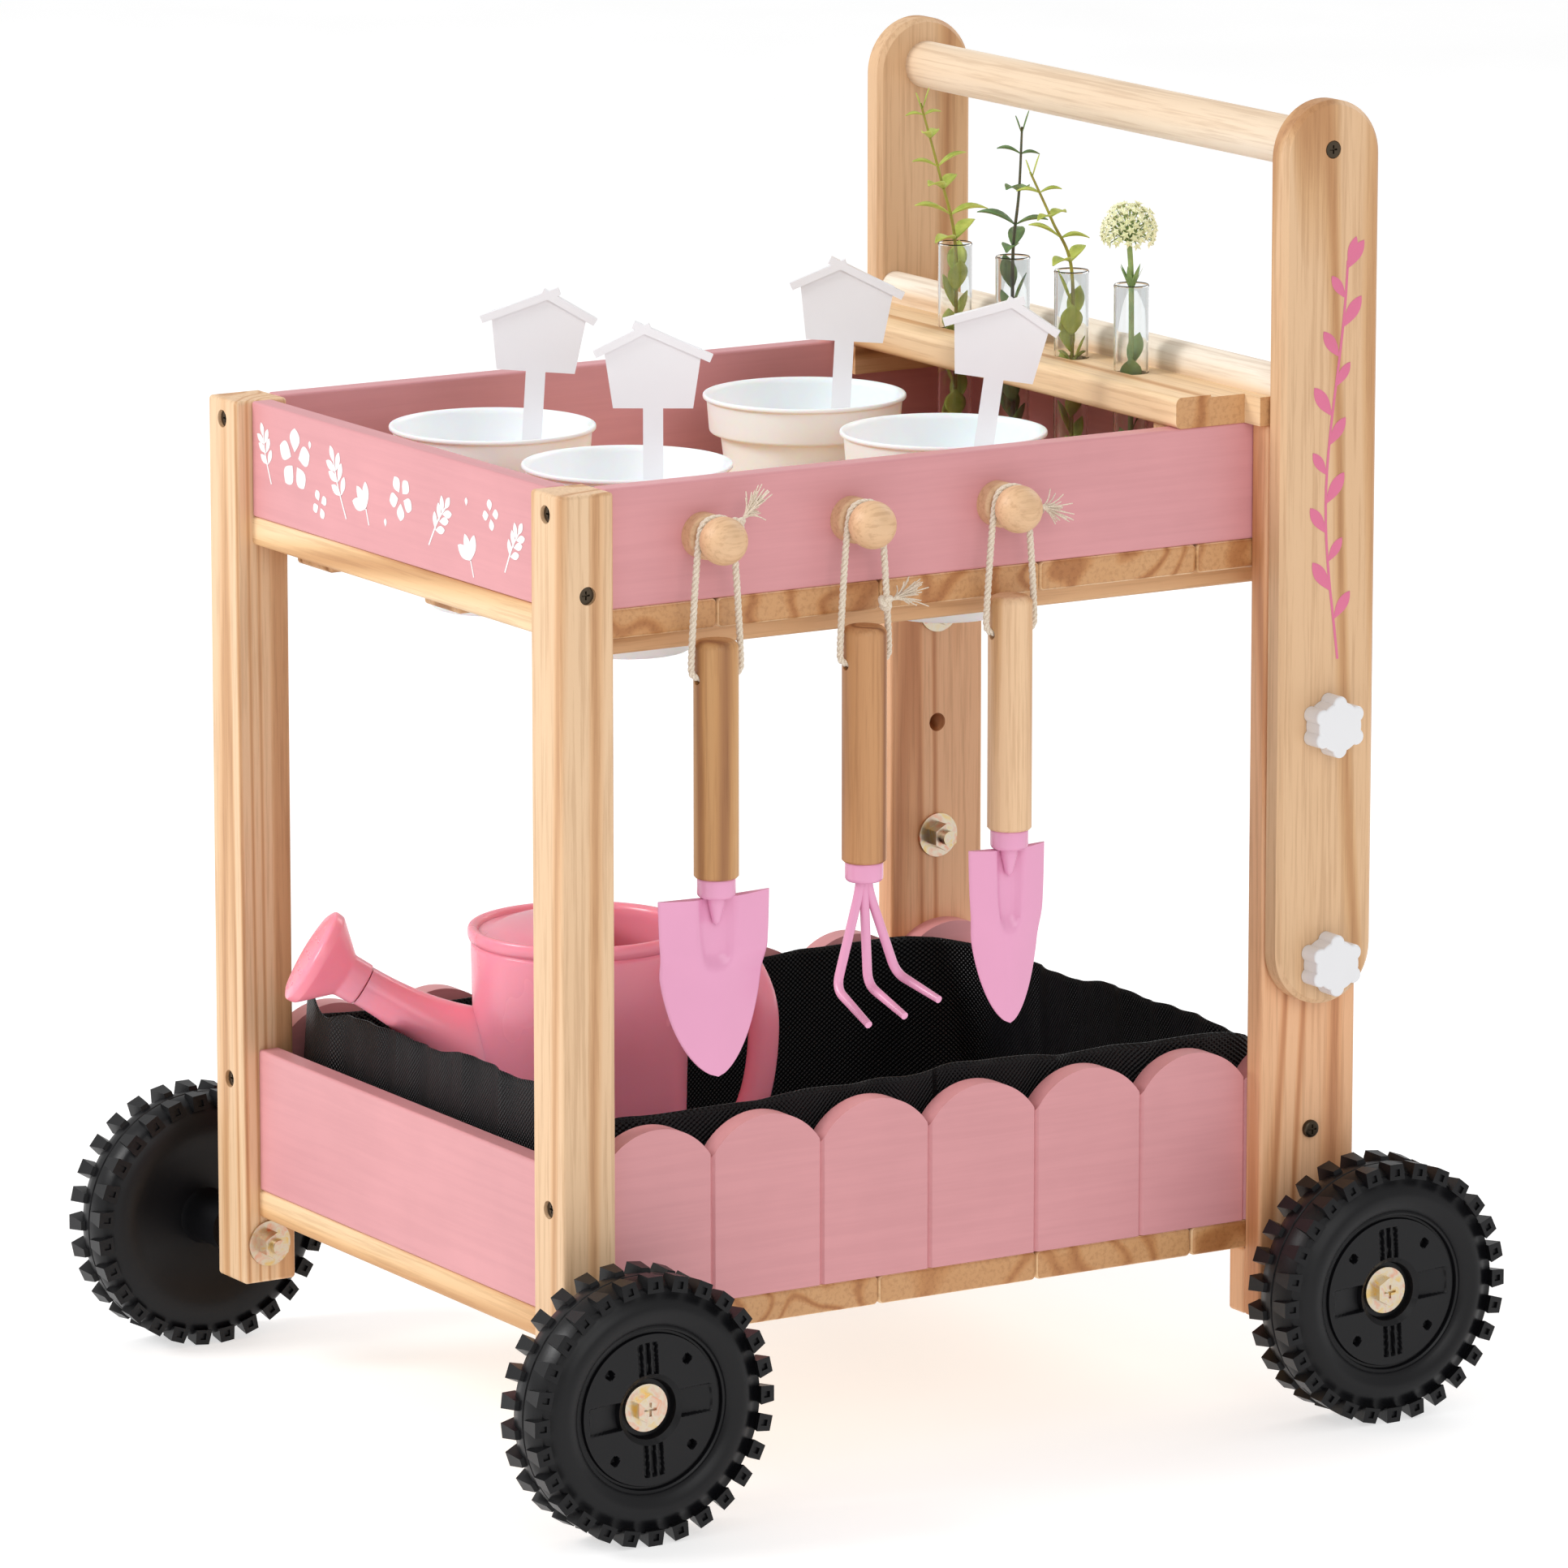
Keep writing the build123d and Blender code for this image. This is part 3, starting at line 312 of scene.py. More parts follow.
def paint(name, colour, along):
    """Painted wood: a slightly uneven coat with faint fibres under it."""
    f = Finish(name, Roughness=0.42)
    blotch = f.noise(f.coords(), 9.0, 4.0, 0.6)
    fibre = f.noise(f.coords(grain(along, 0.04)), 260.0, 4.0, 0.6)
    darker = tuple(v * 0.9 for v in colour)
    base = f.ramp(blotch, (0.3, darker), (0.7, colour))
    f.colour(f.mix(0.10, base, f.ramp(fibre, (0.4, (0.6, 0.5, 0.5)), (0.6, (1, 1, 1))), "MULTIPLY"))
    f.bump(fibre, 0.25, 0.0003)
    return f.material


def plastic(name, colour, rough, grain=900.0, strength=0.08, deep=0.92, **sockets):
    """Moulded plastic: fine grain, and roughness that wanders a little."""
    f = Finish(name, Roughness=rough, **sockets)
    cloud = f.noise(f.coords(), 14.0, 3.0)
    f.colour(f.ramp(cloud, (0.3, tuple(v * deep for v in colour)), (0.7, colour)))
    f.set(f.bsdf, {"Roughness": f.math("ADD", f.math("MULTIPLY", cloud, 0.14), rough - 0.07)})
    f.bump(f.noise(f.coords(), grain, 2.0), strength, 0.0002)
    return f.material


def zinc(name):
    """Passivated zinc plate with yellow and rose patches."""
    f = Finish(name, Metallic=1.0, Roughness=0.28)
    patch = f.noise(f.coords(), 160.0, 3.0, 0.5, 0.8)
    yellow, silver, rose_tint = tint(214, 184, 122), tint(206, 196, 178), tint(214, 158, 132)
    f.colour(f.ramp(patch, (0.3, yellow), (0.5, silver), (0.7, rose_tint)))
    f.bump(f.noise(f.coords(), 1500.0, 3.0), 0.1, 0.0001)
    return f.material


DIMPLE_PITCH = 0.0026


def fabric(name):
    """Bonded non-woven cloth: rows of small pressed dimples in the piece's own pattern space."""
    f = Finish(name, Roughness=0.38, Specular_IOR_Level=0.22)
    split = f.add("ShaderNodeSeparateXYZ", Vector=f.coords(source="UV"))
    wave = [f.math("SINE", f.math("MULTIPLY", split.outputs[i], TAU / DIMPLE_PITCH)) for i in (0, 1)]
    dimple = f.math("MULTIPLY", wave[0], wave[1])
    cloud = f.noise(f.coords(), 30.0, 4.0)
    f.colour(f.mix(cloud, (0.003, 0.003, 0.0035, 1), (0.006, 0.006, 0.007, 1)))
    f.bump(f.math("ADD", dimple, f.math("MULTIPLY", cloud, 3.0)), 0.8, 0.0005)
    return f.material


def glass(name):
    """Clear glass with a faint long smear in its tint."""
    f = Finish(name, Roughness=0.02, IOR=1.45, Transmission_Weight=1.0)
    smear = f.noise(f.coords((1, 1, 0.2)), 60.0, 3.0)
    f.colour(f.ramp(smear, (0.3, (0.93, 0.96, 0.96)), (0.7, (0.99, 1.0, 1.0))))
    return f.material


def leafy(name, pale, deep, rough=0.55):
    """Leaf skin: veins and blotches from two noises."""
    f = Finish(name, Roughness=rough, Subsurface_Weight=0.08)
    blotch = f.noise(f.coords(), 70.0, 4.0, 0.6, 0.4)
    f.colour(f.ramp(blotch, (0.3, deep), (0.65, pale)))
    f.bump(f.noise(f.coords(), 700.0, 3.0), 0.25, 0.0003)
    return f.material


def cotton(name):
    """Fuzzy twisted cotton, from one fine noise."""
    f = Finish(name, Roughness=0.9, Sheen_Weight=0.3)
    fuzz = f.noise(f.coords(), 1600.0, 4.0, 0.7)
    f.colour(f.ramp(fuzz, (0.3, tint(196, 176, 150)), (0.6, tint(236, 224, 206))))
    f.bump(fuzz, 0.6, 0.0004)
    return f.material


post_wood = wood("pine_upright", "z", tint(226, 192, 154), tint(216, 172, 128), tint(190, 142, 98),
                 0.3, 70, long=0.012)
plank_wood = wood("pine_rear_plank", "z", tint(230, 180, 138), tint(218, 160, 114), tint(192, 130, 86), 1.3)
side_wood = wood("pine_handle_plate", "z", tint(218, 180, 140), tint(206, 162, 116), tint(184, 134, 88),
                 2.1, 20, long=0.07)
board_wood = wood("pine_boards", "x", tint(238, 206, 164), tint(226, 184, 134), tint(198, 148, 98),
                  3.7, 34, end=True)
batten_wood = wood("pine_battens", "y", tint(222, 180, 136), tint(202, 154, 106), tint(164, 114, 70), 4.4)
# Pale beech, made paler and less yellow still by a painted highlight taken into its colour; the rack's back
# rail shares it.
bar_wood_painted_highlight = wood("beech_bar_painted_highlight", "x", tint(243, 232, 216), tint(238, 220, 196), tint(226, 198, 166), 5.0, 16)
peg_wood = wood("beech_peg", "y", tint(222, 184, 144), tint(212, 168, 126), tint(194, 146, 104), 6.0, 14)
grip_wood = wood("ash_grip_dark", "z", tint(206, 160, 108), tint(188, 138, 86), tint(152, 102, 60), 7.3, 40)
grip_wood_mid = wood("ash_grip_mid", "z", tint(192, 140, 92), tint(176, 122, 76), tint(140, 90, 52),
                     9.6, 60)
grip_wood_pale = wood("ash_grip_pale", "z", tint(226, 188, 148), tint(208, 164, 118), tint(182, 134, 86),
                      8.9, 40)
pink = paint("pink_wall_paint", tint(217, 151, 155), "x")
pink_side = paint("pink_side_paint", tint(217, 151, 155), "y")
knob_plastic = plastic("knob_moulding", tint(226, 226, 228), 0.3, deep=0.97)
white_plastic = plastic("white_moulding", tint(242, 242, 244), 0.34, deep=0.97)
milk_plastic = plastic("milk_moulding", tint(250, 251, 254), 0.36, deep=0.98, Subsurface_Weight=0.4,
                       Subsurface_Scale=0.01)
tyre_plastic = plastic("black_moulding", (0.004, 0.004, 0.005), 0.38, 600.0, 0.16, 0.7,
                       Specular_IOR_Level=0.26)
can_plastic = plastic("pink_can_moulding", tint(250, 148, 168), 0.26, 700.0, 0.05, 0.97,
                      Subsurface_Weight=0.35, Subsurface_Scale=0.012)
coat = plastic("violet_pink_coat", tint(228, 158, 192), 0.24, 500.0, 0.1, 0.95)
zinc_plate = zinc("zinc_plate")
# The frame screws are zinc; this near-black colour is painted shade of the holes they sit in.
screw_painted_shade = plastic("screw_recess_painted_shade", (0.10, 0.075, 0.05), 0.35, 900.0, 0.1, 0.6, Metallic=0.9)
liner_cloth = fabric("black_liner_cloth")
clear = glass("clear_tube_glass")
rope_cotton = cotton("cotton_rope")
print_white = plastic("white_print", tint(244, 240, 240), 0.5)
print_pink = plastic("pink_print", tint(218, 112, 146), 0.5)
leaf_lime = leafy("lime_leaf", tint(196, 206, 96), tint(140, 160, 50))
leaf_fresh = leafy("fresh_green_leaf", tint(150, 176, 108), tint(104, 138, 76))
leaf_green = leafy("deep_green_leaf", tint(98, 142, 78), tint(44, 84, 52))
stem_lime = leafy("lime_stem", tint(160, 156, 60), tint(120, 112, 40))
stem_dark = leafy("dark_stem", tint(64, 78, 56), tint(40, 52, 40))
floret = leafy("cream_floret", tint(250, 248, 214), tint(226, 228, 176), 0.7)

NODE_FINISH = {
    "front_post_left": post_wood, "front_post_right": post_wood,
    "rear_plank_left": plank_wood, "rear_plank_right": plank_wood, "rear_leg_blocks": plank_wood,
    "deck_boards": board_wood, "floor_boards": board_wood, "deck_battens": batten_wood,
    "tube_rack": board_wood, "rack_back_rail": bar_wood_painted_highlight, "rack_cleats": batten_wood,
    "handle_side_left": side_wood, "handle_side_right": side_wood, "handle_bar": bar_wood_painted_highlight,
    "tool_pegs": peg_wood, "frame_screws": screw_painted_shade, "axle_bolts": zinc_plate,
    "handle_studs": zinc_plate, "m8_washers": zinc_plate, "m8_nuts": zinc_plate,
    "wide_trowel_grip": grip_wood, "hand_rake_grip": grip_wood_mid, "narrow_trowel_grip": grip_wood_pale,
}


def finish_for(name):
    """The material of a CAD node: from the table, or by a word in its name."""
    if name in NODE_FINISH:
        return NODE_FINISH[name]
    if "front_wall" in name or "back_wall" in name:
        return pink
    if "wall" in name or "fence" in name:
        return pink_side
    if "wheel" in name:
        return tyre_plastic
    if "knob" in name:
        return knob_plastic
    if "stake" in name or name.startswith("pot"):
        return white_plastic
    if name.startswith("glass"):
        return clear
    if name.endswith("head"):
        return coat
    if name.endswith("rope"):
        return rope_cotton
    if name == "planter_liner":
        return liner_cloth
    return can_plastic


for name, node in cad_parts.items():
    node.data.materials.clear()
    node.data.materials.append(finish_for(name))


# ---------------------------------------------------------------- pots and tubes
CORNERS = ("front_left", "front_right", "back_left", "back_right")
TUBES = (1, 2, 3, 4)
AXIS_R = 0.01                  # a profile starts this far from its axis, which closes the pole
COLLAR_HIGH = 20               # from a pot's step to its lip
TUBE_R, TUBE_WALL = 9.0, 1.0


def pot(corner):
    """Turned pot: rounded foot, tapered body, step, collar and thin lip, with an even wall."""
    node = "pot_" + corner
    x, y, _ = middle(node)
    z0, z1 = low(node)[2], high(node)[2]
    lip = (high(node)[0] - low(node)[0]) / 2
    step = z1 - COLLAR_HIGH
    outer = [(AXIS_R, z0 + 1.2), (22, z0 + 1.2), (24, z0), (31, z0), (35.4, z0 + 7), (43.9, step - 0.4),
             (lip - 3.4, step), (lip - 2.0, z1 - 2.4), (lip, z1 - 2.4), (lip, z1), (lip - 1.8, z1)]
    inner = [(lip - 3.6, z1 - 1.6), (lip - 5.0, step + 1.4), (42.3, step + 1.2), (33.8, z0 + 8.4),
             (30, z0 + 3.4), (AXIS_R, z0 + 3.4)]
    body = lathe(rounded(outer + inner, 1.6, 4), (x, y, 0), 96)
    Patch().grid(body, close_u=True).build(
        "moulded_pot_" + corner, milk_plastic, f"pot_{corner}_body", "white_plastic", [node])


def glass_tube(number):
    """Round-bottomed tube turned from two quarter circles, with an even wall and a soft lip."""
    node = f"glass_tube_{number}"
    x, y, _ = middle(node)
    z0, z1 = low(node)[2], high(node)[2]
    r, bore = TUBE_R, TUBE_R - TUBE_WALL
    a = np.linspace(-math.pi / 2, 0, 12)
    outer = [(max(r * math.cos(t), AXIS_R), z0 + r + r * math.sin(t)) for t in a]
    rim = [(r, z1 - 2), (r + 0.2, z1 - 0.8), (r - 0.3, z1), (bore, z1 - 0.8)]
    inner = [(max(bore * math.cos(t), AXIS_R), z0 + r + bore * math.sin(t)) for t in a[::-1]]
    Patch().grid(lathe(outer + rim + inner, (x, y, 0), 48), close_u=True).build(
        f"blown_tube_{number}", clear, f"glass_tube_{number}_body", "clear_glass", [node])


for corner in CORNERS:
    pot(corner)
for number in TUBES:
    glass_tube(number)


# ---------------------------------------------------------------- wheels
WHEEL_R = 68.0
LUG_COUNT = 28
HUB_TURN = 0.06                # the hub's pattern is turned this far against the lugs
PIT_CIRCLE = 31                # radius of the circle of four round pits in the hub
BOSS_BACK = low("wheel_front_right")[0] - high("wheel_front_right")[0]


def wheel_profile():
    """(radius, depth from the outer face): hub, bulging sidewall, tread band, inner side and boss."""
    tread = WHEEL_R - 4.6
    band = WHEEL_R - 2.8
    hub = [(4.1, -11.5), (14.3, -11.5), (14.9, -10.8), (15.4, -7.2), (18.0, -5.0)]
    hub += [(r, -5.0) for r in np.linspace(18.6, 37.2, 26)]
    rim = [(38.2, -5.0), (38.8, -6.6), (39.9, -6.6), (40.5, -4.6), (41.4, -4.0), (42.4, -4.4), (43.4, -3.0)]
    bulge = [(43.4 + 17.0 * t, -3.0 + 2.7 * math.sin(math.pi * min(1, t * 1.15)) - 1.6 * t * t)
             for t in np.linspace(0.08, 1, 12)]
    outer = [(tread - 1.4, -4.8), (tread, -7.4), (band, -13.6), (band, -17.0), (band - 0.8, -17.4),
             (band - 0.8, -18.1), (band, -18.5), (band, -21.9), (tread, -29.5), (tread - 2, -31.5)]
    back = [(54, -34.6), (45, -33.8), (40, -31.6), (26, -28.6), (15, -26.4), (13, -30.0),
            (13, BOSS_BACK), (4.1, BOSS_BACK)]
    return np.array(hub + rim + bulge + outer + back)


def wheel_skin(side, y, z, outer_x):
    """The profile turned round the axle; in the hub the depth grows off the spokes, at ribs and pits."""
    profile = wheel_profile()
    steps = 360
    a = np.linspace(0, TAU, steps, endpoint=False)[:, None]
    r = np.broadcast_to(profile[None, :, 0], (steps, len(profile)))
    x = np.broadcast_to(profile[None, :, 1], (steps, len(profile))).copy()
    hub = smoothstep(r, 17.9, 18.5) * (1 - smoothstep(r, 36.0, 37.0)) * (x > -5.5)
    across, along = r * np.sin(a - HUB_TURN), r * np.cos(a - HUB_TURN)
    plain = 1 - smoothstep(np.abs(across), 6.4, 7.1)
    slope = 1.2 + 2.2 * smoothstep(np.abs(along), 36.0, 18.0)
    x -= hub * plain * slope * (1 - smoothstep(np.abs(along), 34.0, 34.8))
    for offset in (-4.2, 0.0, 4.2):
        rib = 1 - smoothstep(np.abs(along - offset), 0.8, 1.5)
        x -= hub * rib * 2.4 * (np.abs(across) > 17) * (1 - smoothstep(np.abs(across), 33.0, 34.0))
    for k in range(4):
        pit = TAU * (k + 0.5) / 4 + HUB_TURN
        pit_y, pit_z = PIT_CIRCLE * math.cos(pit), PIT_CIRCLE * math.sin(pit)
        near = np.hypot(r * np.cos(a) - pit_y, r * np.sin(a) - pit_z)
        x -= (1 - smoothstep(near, 1.9, 2.5)) * 4.0 * (x > -8)
    return np.stack([side * (outer_x + x), y + r * np.cos(a), z + r * np.sin(a)], -1)


def lug_block():
    """One tread lug in (across, radius, tangent): a tapered block with a square pit in its side."""
    w, t = 4.7, 0.62
    outer = [(0.1, -8.0, -w), (0.1, -8.0, w), (-0.8, 0, w * 0.84), (-0.8, 0, -w * 0.84)]
    inner = [(-14.5, -6.2, -w * t), (-14.5, -6.2, w * t), (-12.8, -0.7, w * t * 0.8),
             (-12.8, -0.7, -w * t * 0.8)]
    pit = [(-0.06, -6.2, -1.6), (-0.06, -6.2, 1.6), (-0.42, -2.6, 1.6), (-0.42, -2.6, -1.6)]
    deep = [(p[0] - 1.4, p[1], p[2]) for p in pit]
    verts = np.array(outer + inner + pit + deep)
    faces = [[4, 5, 6, 7], [0, 4, 7, 3], [1, 2, 6, 5], [3, 7, 6, 2], [0, 1, 5, 4], [12, 13, 14, 15]]
    for i in range(4):
        j = (i + 1) % 4
        faces += [[i, j, 8 + j, 8 + i], [8 + i, 8 + j, 12 + j, 12 + i]]
    return verts, faces


def wheel(end, hand):
    """Sidewalls and hub as one skin, with two staggered rows of lugs round the tread."""
    node = f"wheel_{end}_{hand}"
    side = 1 if hand == "right" else -1
    y, z = middle(node)[1], WHEEL_R
    outer_x = max(abs(low(node)[0]), abs(high(node)[0]))
    patch = Patch()
    patch.grid(wheel_skin(side, y, z, outer_x), close_u=True)
    verts, faces = lug_block()
    for row in (0, 1):
        for i in range(LUG_COUNT):
            angle = -math.pi / 2 + TAU * (i + 0.5 * row) / LUG_COUNT
            x = outer_x - 0.2 + verts[:, 0] if row == 0 else outer_x - 35.3 - verts[:, 0]
            radial = WHEEL_R + verts[:, 1]
            c, s = math.cos(angle), math.sin(angle)
            across, up = radial * c - verts[:, 2] * s, radial * s + verts[:, 2] * c
            patch.solid(np.stack([side * x, y + across, z + up], -1), faces)
    patch.build(f"moulded_{node}", tyre_plastic, node + "_body", "black_plastic", [node], sharp=35)


for end in ("front", "rear"):
    for hand in ("left", "right"):
        wheel(end, hand)


# ---------------------------------------------------------------- watering can
CAN_ANGLE = math.radians(-118.0)
CAN_X, CAN_Y = -5.7, -115.5
CAN_TOP = 253.5
CAN_FOOT_R, CAN_RIM_R = 53.0, 56.5
COVER_THICK = 1.8
SPOUT_MOUTH_R = 10.6
SPOUT_ROOT, SPOUT_RUN = np.array([42.0, 0, 180.3]), np.array([69.0, 0, 42.2])
SPOUT_RISE = math.atan2(38.5, 63.0)
SPOUT_AXIS = np.array([math.cos(SPOUT_RISE), 0, math.sin(SPOUT_RISE)])
SPOUT_UP = np.array([-math.sin(SPOUT_RISE), 0, math.cos(SPOUT_RISE)])
SIDEWAYS = np.array([0, 1.0, 0])
ROSE_GAP = 0.3


def turn_can(points):
    """From the can's own frame, spout along +X, to its place in the planter."""
    c, s = math.cos(CAN_ANGLE), math.sin(CAN_ANGLE)
    x, y = points[..., 0], points[..., 1]
    return np.stack([CAN_X + x * c - y * s, CAN_Y + x * s + y * c, points[..., 2]], -1)


def can_cover(radius, z):
    """Half dome over the spout side: a fan of lines from the straight edge to the rim."""
    across = np.linspace(-1, 1, 49)[:, None]
    reach = np.linspace(0, 1, 22)[None, :]
    y = across * radius * 0.985
    arc = np.sqrt(np.maximum((radius * 0.985) ** 2 - y**2, 0))
    start = -6 + 10 * across**2 * 0.6
    x = start * (1 - reach) + arc * reach
    rho = np.sqrt(x**2 + y**2) / radius
    dome = z - 3 + 8.5 * (1 - np.clip(rho, 0, 1) ** 2) * smoothstep(1.02 - rho, 0, 0.3)
    return np.stack([x, np.broadcast_to(y, x.shape), dome], -1)


def can_body():
    """Turned wall: one profile from the outer foot over the rolled rim to the inner floor."""
    z0, z1 = low("watering_can")[2], CAN_TOP
    foot, top = CAN_FOOT_R, CAN_RIM_R
    outer = [(AXIS_R, z0 + 2), (foot - 8, z0 + 2), (foot - 6, z0), (foot - 2, z0), (foot, z0 + 5),
             (top - 0.4, z1 - 9.6), (top - 1.3, z1 - 8.8), (top - 1.3, z1 - 8.0), (top + 0.8, z1 - 7.0),
             (top + 1.4, z1 - 3), (top + 0.4, z1), (top - 4, z1 - 1.0)]
    inner = [(top - 5, z1 - 5), (foot - 2.5, z0 + 6), (foot - 8, z0 + 4), (AXIS_R, z0 + 4)]
    return lathe(rounded(outer + inner, 2.4, 5), (0, 0, 0), 120)


def can_spout():
    """Ellipses along a straight line; their half height and width fall off from the can to the mouth."""
    t = np.linspace(0, 1, 40)
    spine = SPOUT_ROOT + SPOUT_RUN * t[:, None]
    half_high = SPOUT_MOUTH_R + 20.0 * (1 - t) ** 2.2 + 6.0 * np.exp(-t * 9)
    half_wide = SPOUT_MOUTH_R + 13.0 * (1 - t) ** 1.5 + 8.0 * np.exp(-t * 8)
    a = np.linspace(0, TAU, 56, endpoint=False)[None, :, None]
    ring = np.cos(a) * half_high[:, None, None] * SPOUT_UP
    ring = ring + np.sin(a) * half_wide[:, None, None] * SIDEWAYS
    spout = spine[:, None] + ring
    mouth = spine[-1] + (spout[-1] - spine[-1]) * 0.82
    throat = mouth + (spine[-4] - spine[-1])
    return np.concatenate([spout, mouth[None], throat[None]], 0)


def can_handle():
    """Loop on the back of the can, swept along a smooth curve and thicker where it meets the wall."""
    loop = smooth_path([(-46, 0, 237), (-62, 0, 241), (-80, 0, 236), (-92, 0, 214), (-93.5, 0, 188),
                        (-88, 0, 158), (-74, 0, 134), (-46, 0, 120)], 60)
    t = np.linspace(0, 1, len(loop))
    width = 8.6 + 2.6 * np.exp(-t * 12) + 2.6 * np.exp(-(1 - t) * 12)
    return tube(loop, width, 28, 0.92)


def watering_can():
    """Body, half cover, spout and handle as one moulding."""
    cover = can_cover(CAN_RIM_R - 3.5, CAN_TOP)
    both_sides = np.concatenate([cover, (cover - [0, 0, COVER_THICK])[:, ::-1]], 1)
    patch = Patch()
    patch.grid(turn_can(can_body()), close_u=True)
    patch.grid(turn_can(both_sides), close_v=True)
    patch.grid(turn_can(can_spout()), close_v=True)
    patch.grid(turn_can(can_handle()), close_v=True)
    patch.build("moulded_can", can_plastic, "watering_can_body", "pink_plastic", ["watering_can"], sharp=50)


def rose():
    """Sleeve, flare and domed face turned about the spout's line, with three rings of small pits."""
    base = SPOUT_ROOT + SPOUT_RUN + SPOUT_AXIS * ROSE_GAP
    sleeve = rounded([(AXIS_R, 12), (8.7, 8), (8.7, 0.2), (11.3, 0.2), (11.5, 11), (24.4, 25), (25.4, 26.2),
                      (25.8, 31), (22, 32.9)], 1.4, 4)
    face_r = np.linspace(21.7, AXIS_R, 42)
    face = np.stack([face_r, 32.9 + 1.9 * (1 - (face_r / 22) ** 2)], -1)
    profile = np.vstack([sleeve, face])
    steps = 200
    a = np.linspace(0, TAU, steps, endpoint=False)[:, None]
    r = np.broadcast_to(profile[None, :, 0], (steps, len(profile)))
    h = np.broadcast_to(profile[None, :, 1], r.shape).copy()
    for ring, count in ((7, 5), (14, 9), (20, 13)):
        for k in range(count):
            b = TAU * k / count
            near = np.hypot(r * np.cos(a) - ring * math.cos(b), r * np.sin(a) - ring * math.sin(b))
            h -= 1.6 * (1 - smoothstep(near, 0.5, 1.1)) * (h > 32)
    skin = base + h[..., None] * SPOUT_AXIS
    skin = skin + (r * np.cos(a))[..., None] * SPOUT_UP + (r * np.sin(a))[..., None] * SIDEWAYS
    Patch().grid(turn_can(skin), close_u=True).build(
        "moulded_rose", can_plastic, "can_rose_body", "pink_plastic", ["can_rose"], sharp=50)


watering_can()
rose()


# ---------------------------------------------------------------- planter liner
LINER_EDGE = 184.0             # height of the cloth's edge on the left wall, before its waves
LINER_SQUARE = 14              # power of the superellipse that the sheet follows in plan
LINER_INSET = 0.8              # how far this sheet keeps inside the CAD sheet's box
LINER_STEPS = 420
LINER_FLOOR_RUN, LINER_ROUND = 180, 230    # pattern lengths: floor's middle to its edge, and radius round
CLOTH = 0.0008


def liner_plan(a):
    """Superellipse in plan, each coordinate from -1 to 1."""
    c, s = np.cos(a), np.sin(a)
    scale = (np.abs(c) ** LINER_SQUARE + np.abs(s) ** LINER_SQUARE) ** (-1 / LINER_SQUARE)
    return c * scale, s * scale


def liner_edge(a, ux, uy):
    """Height of the cloth's edge: raised at the front and right, three waves, and one dip in front."""
    front = smoothstep(-uy, 0.9, 1.0)
    back = smoothstep(uy, 0.9, 1.0)
    right = smoothstep(ux, 0.93, 1.0) * (1 - front) * (1 - back)
    edge = LINER_EDGE + 18.5 * front - 1.5 * back + 10.0 * right
    edge += 1.6 * np.sin(5 * a + 1.0) + 1.1 * np.sin(13 * a) + 0.5 * np.sin(31 * a)
    return edge - 9.0 * np.exp(-((ux + 0.72) / 0.1) ** 2) * front


def liner():
    """One sheet pressed into the box: flat floor, then walls that wander in and out to an uneven edge."""
    node = "planter_liner"
    lo = low(node) + [LINER_INSET, LINER_INSET, 0.7]
    hi = high(node) - [LINER_INSET, LINER_INSET, 0]
    cx, cy = (lo[0] + hi[0]) / 2, (lo[1] + hi[1]) / 2
    hx, hy = (hi[0] - lo[0]) / 2, (hi[1] - lo[1]) / 2
    a = np.linspace(0, TAU, LINER_STEPS, endpoint=False)
    ux, uy = liner_plan(a)
    edge = liner_edge(a, ux, uy)
    floor_rows = np.linspace(0.02, 1, 14)[:, None]
    wall_rows = np.linspace(0, 1, 26)[1:, None]
    fold = 2.2 * np.sin(9 * a + 0.6) + 1.4 * np.sin(21 * a + 2) + 0.8 * np.sin(47 * a)
    inward = (2.4 + np.abs(fold)) * wall_rows ** 1.3 * 0.9 + 0.2
    shrink_x = 1 - inward / hx
    shrink_y = 1 - inward / hy
    level = np.full((len(floor_rows), LINER_STEPS), lo[2])
    floor = np.stack([cx + hx * ux * floor_rows, cy + hy * uy * floor_rows, level], -1)
    wall_z = lo[2] + (edge - lo[2]) * wall_rows
    walls = np.stack([cx + hx * ux * shrink_x, cy + hy * uy * shrink_y, wall_z], -1)
    sheet = np.concatenate([floor, walls], 0)
    floor_run = np.broadcast_to(floor_rows * LINER_FLOOR_RUN, level.shape)
    run = np.concatenate([floor_run, LINER_FLOOR_RUN + wall_z - lo[2]], 0)
    around = np.broadcast_to(a * LINER_ROUND, run.shape)
    uv = np.stack([around, run], -1) * MM
    piece = Patch().grid(sheet, close_v=True, uv=uv).build(
        "pressed_liner", liner_cloth, "frame", "black_fabric", [node], uv=True, sharp=70)
    thick = piece.modifiers.new("cloth", "SOLIDIFY")
    thick.thickness = CLOTH
    thick.offset = 0


liner()


# ---------------------------------------------------------------- hand tools
def ferrule(z, foot):
    """Turned ferrule under a grip whose end is at z; its profile runs on through the foot's points."""
    return rounded([(AXIS_R, z), (9.0, z), (9.6, z - 0.6), (9.6, z - 8.6)] + foot, 0.8, 3)


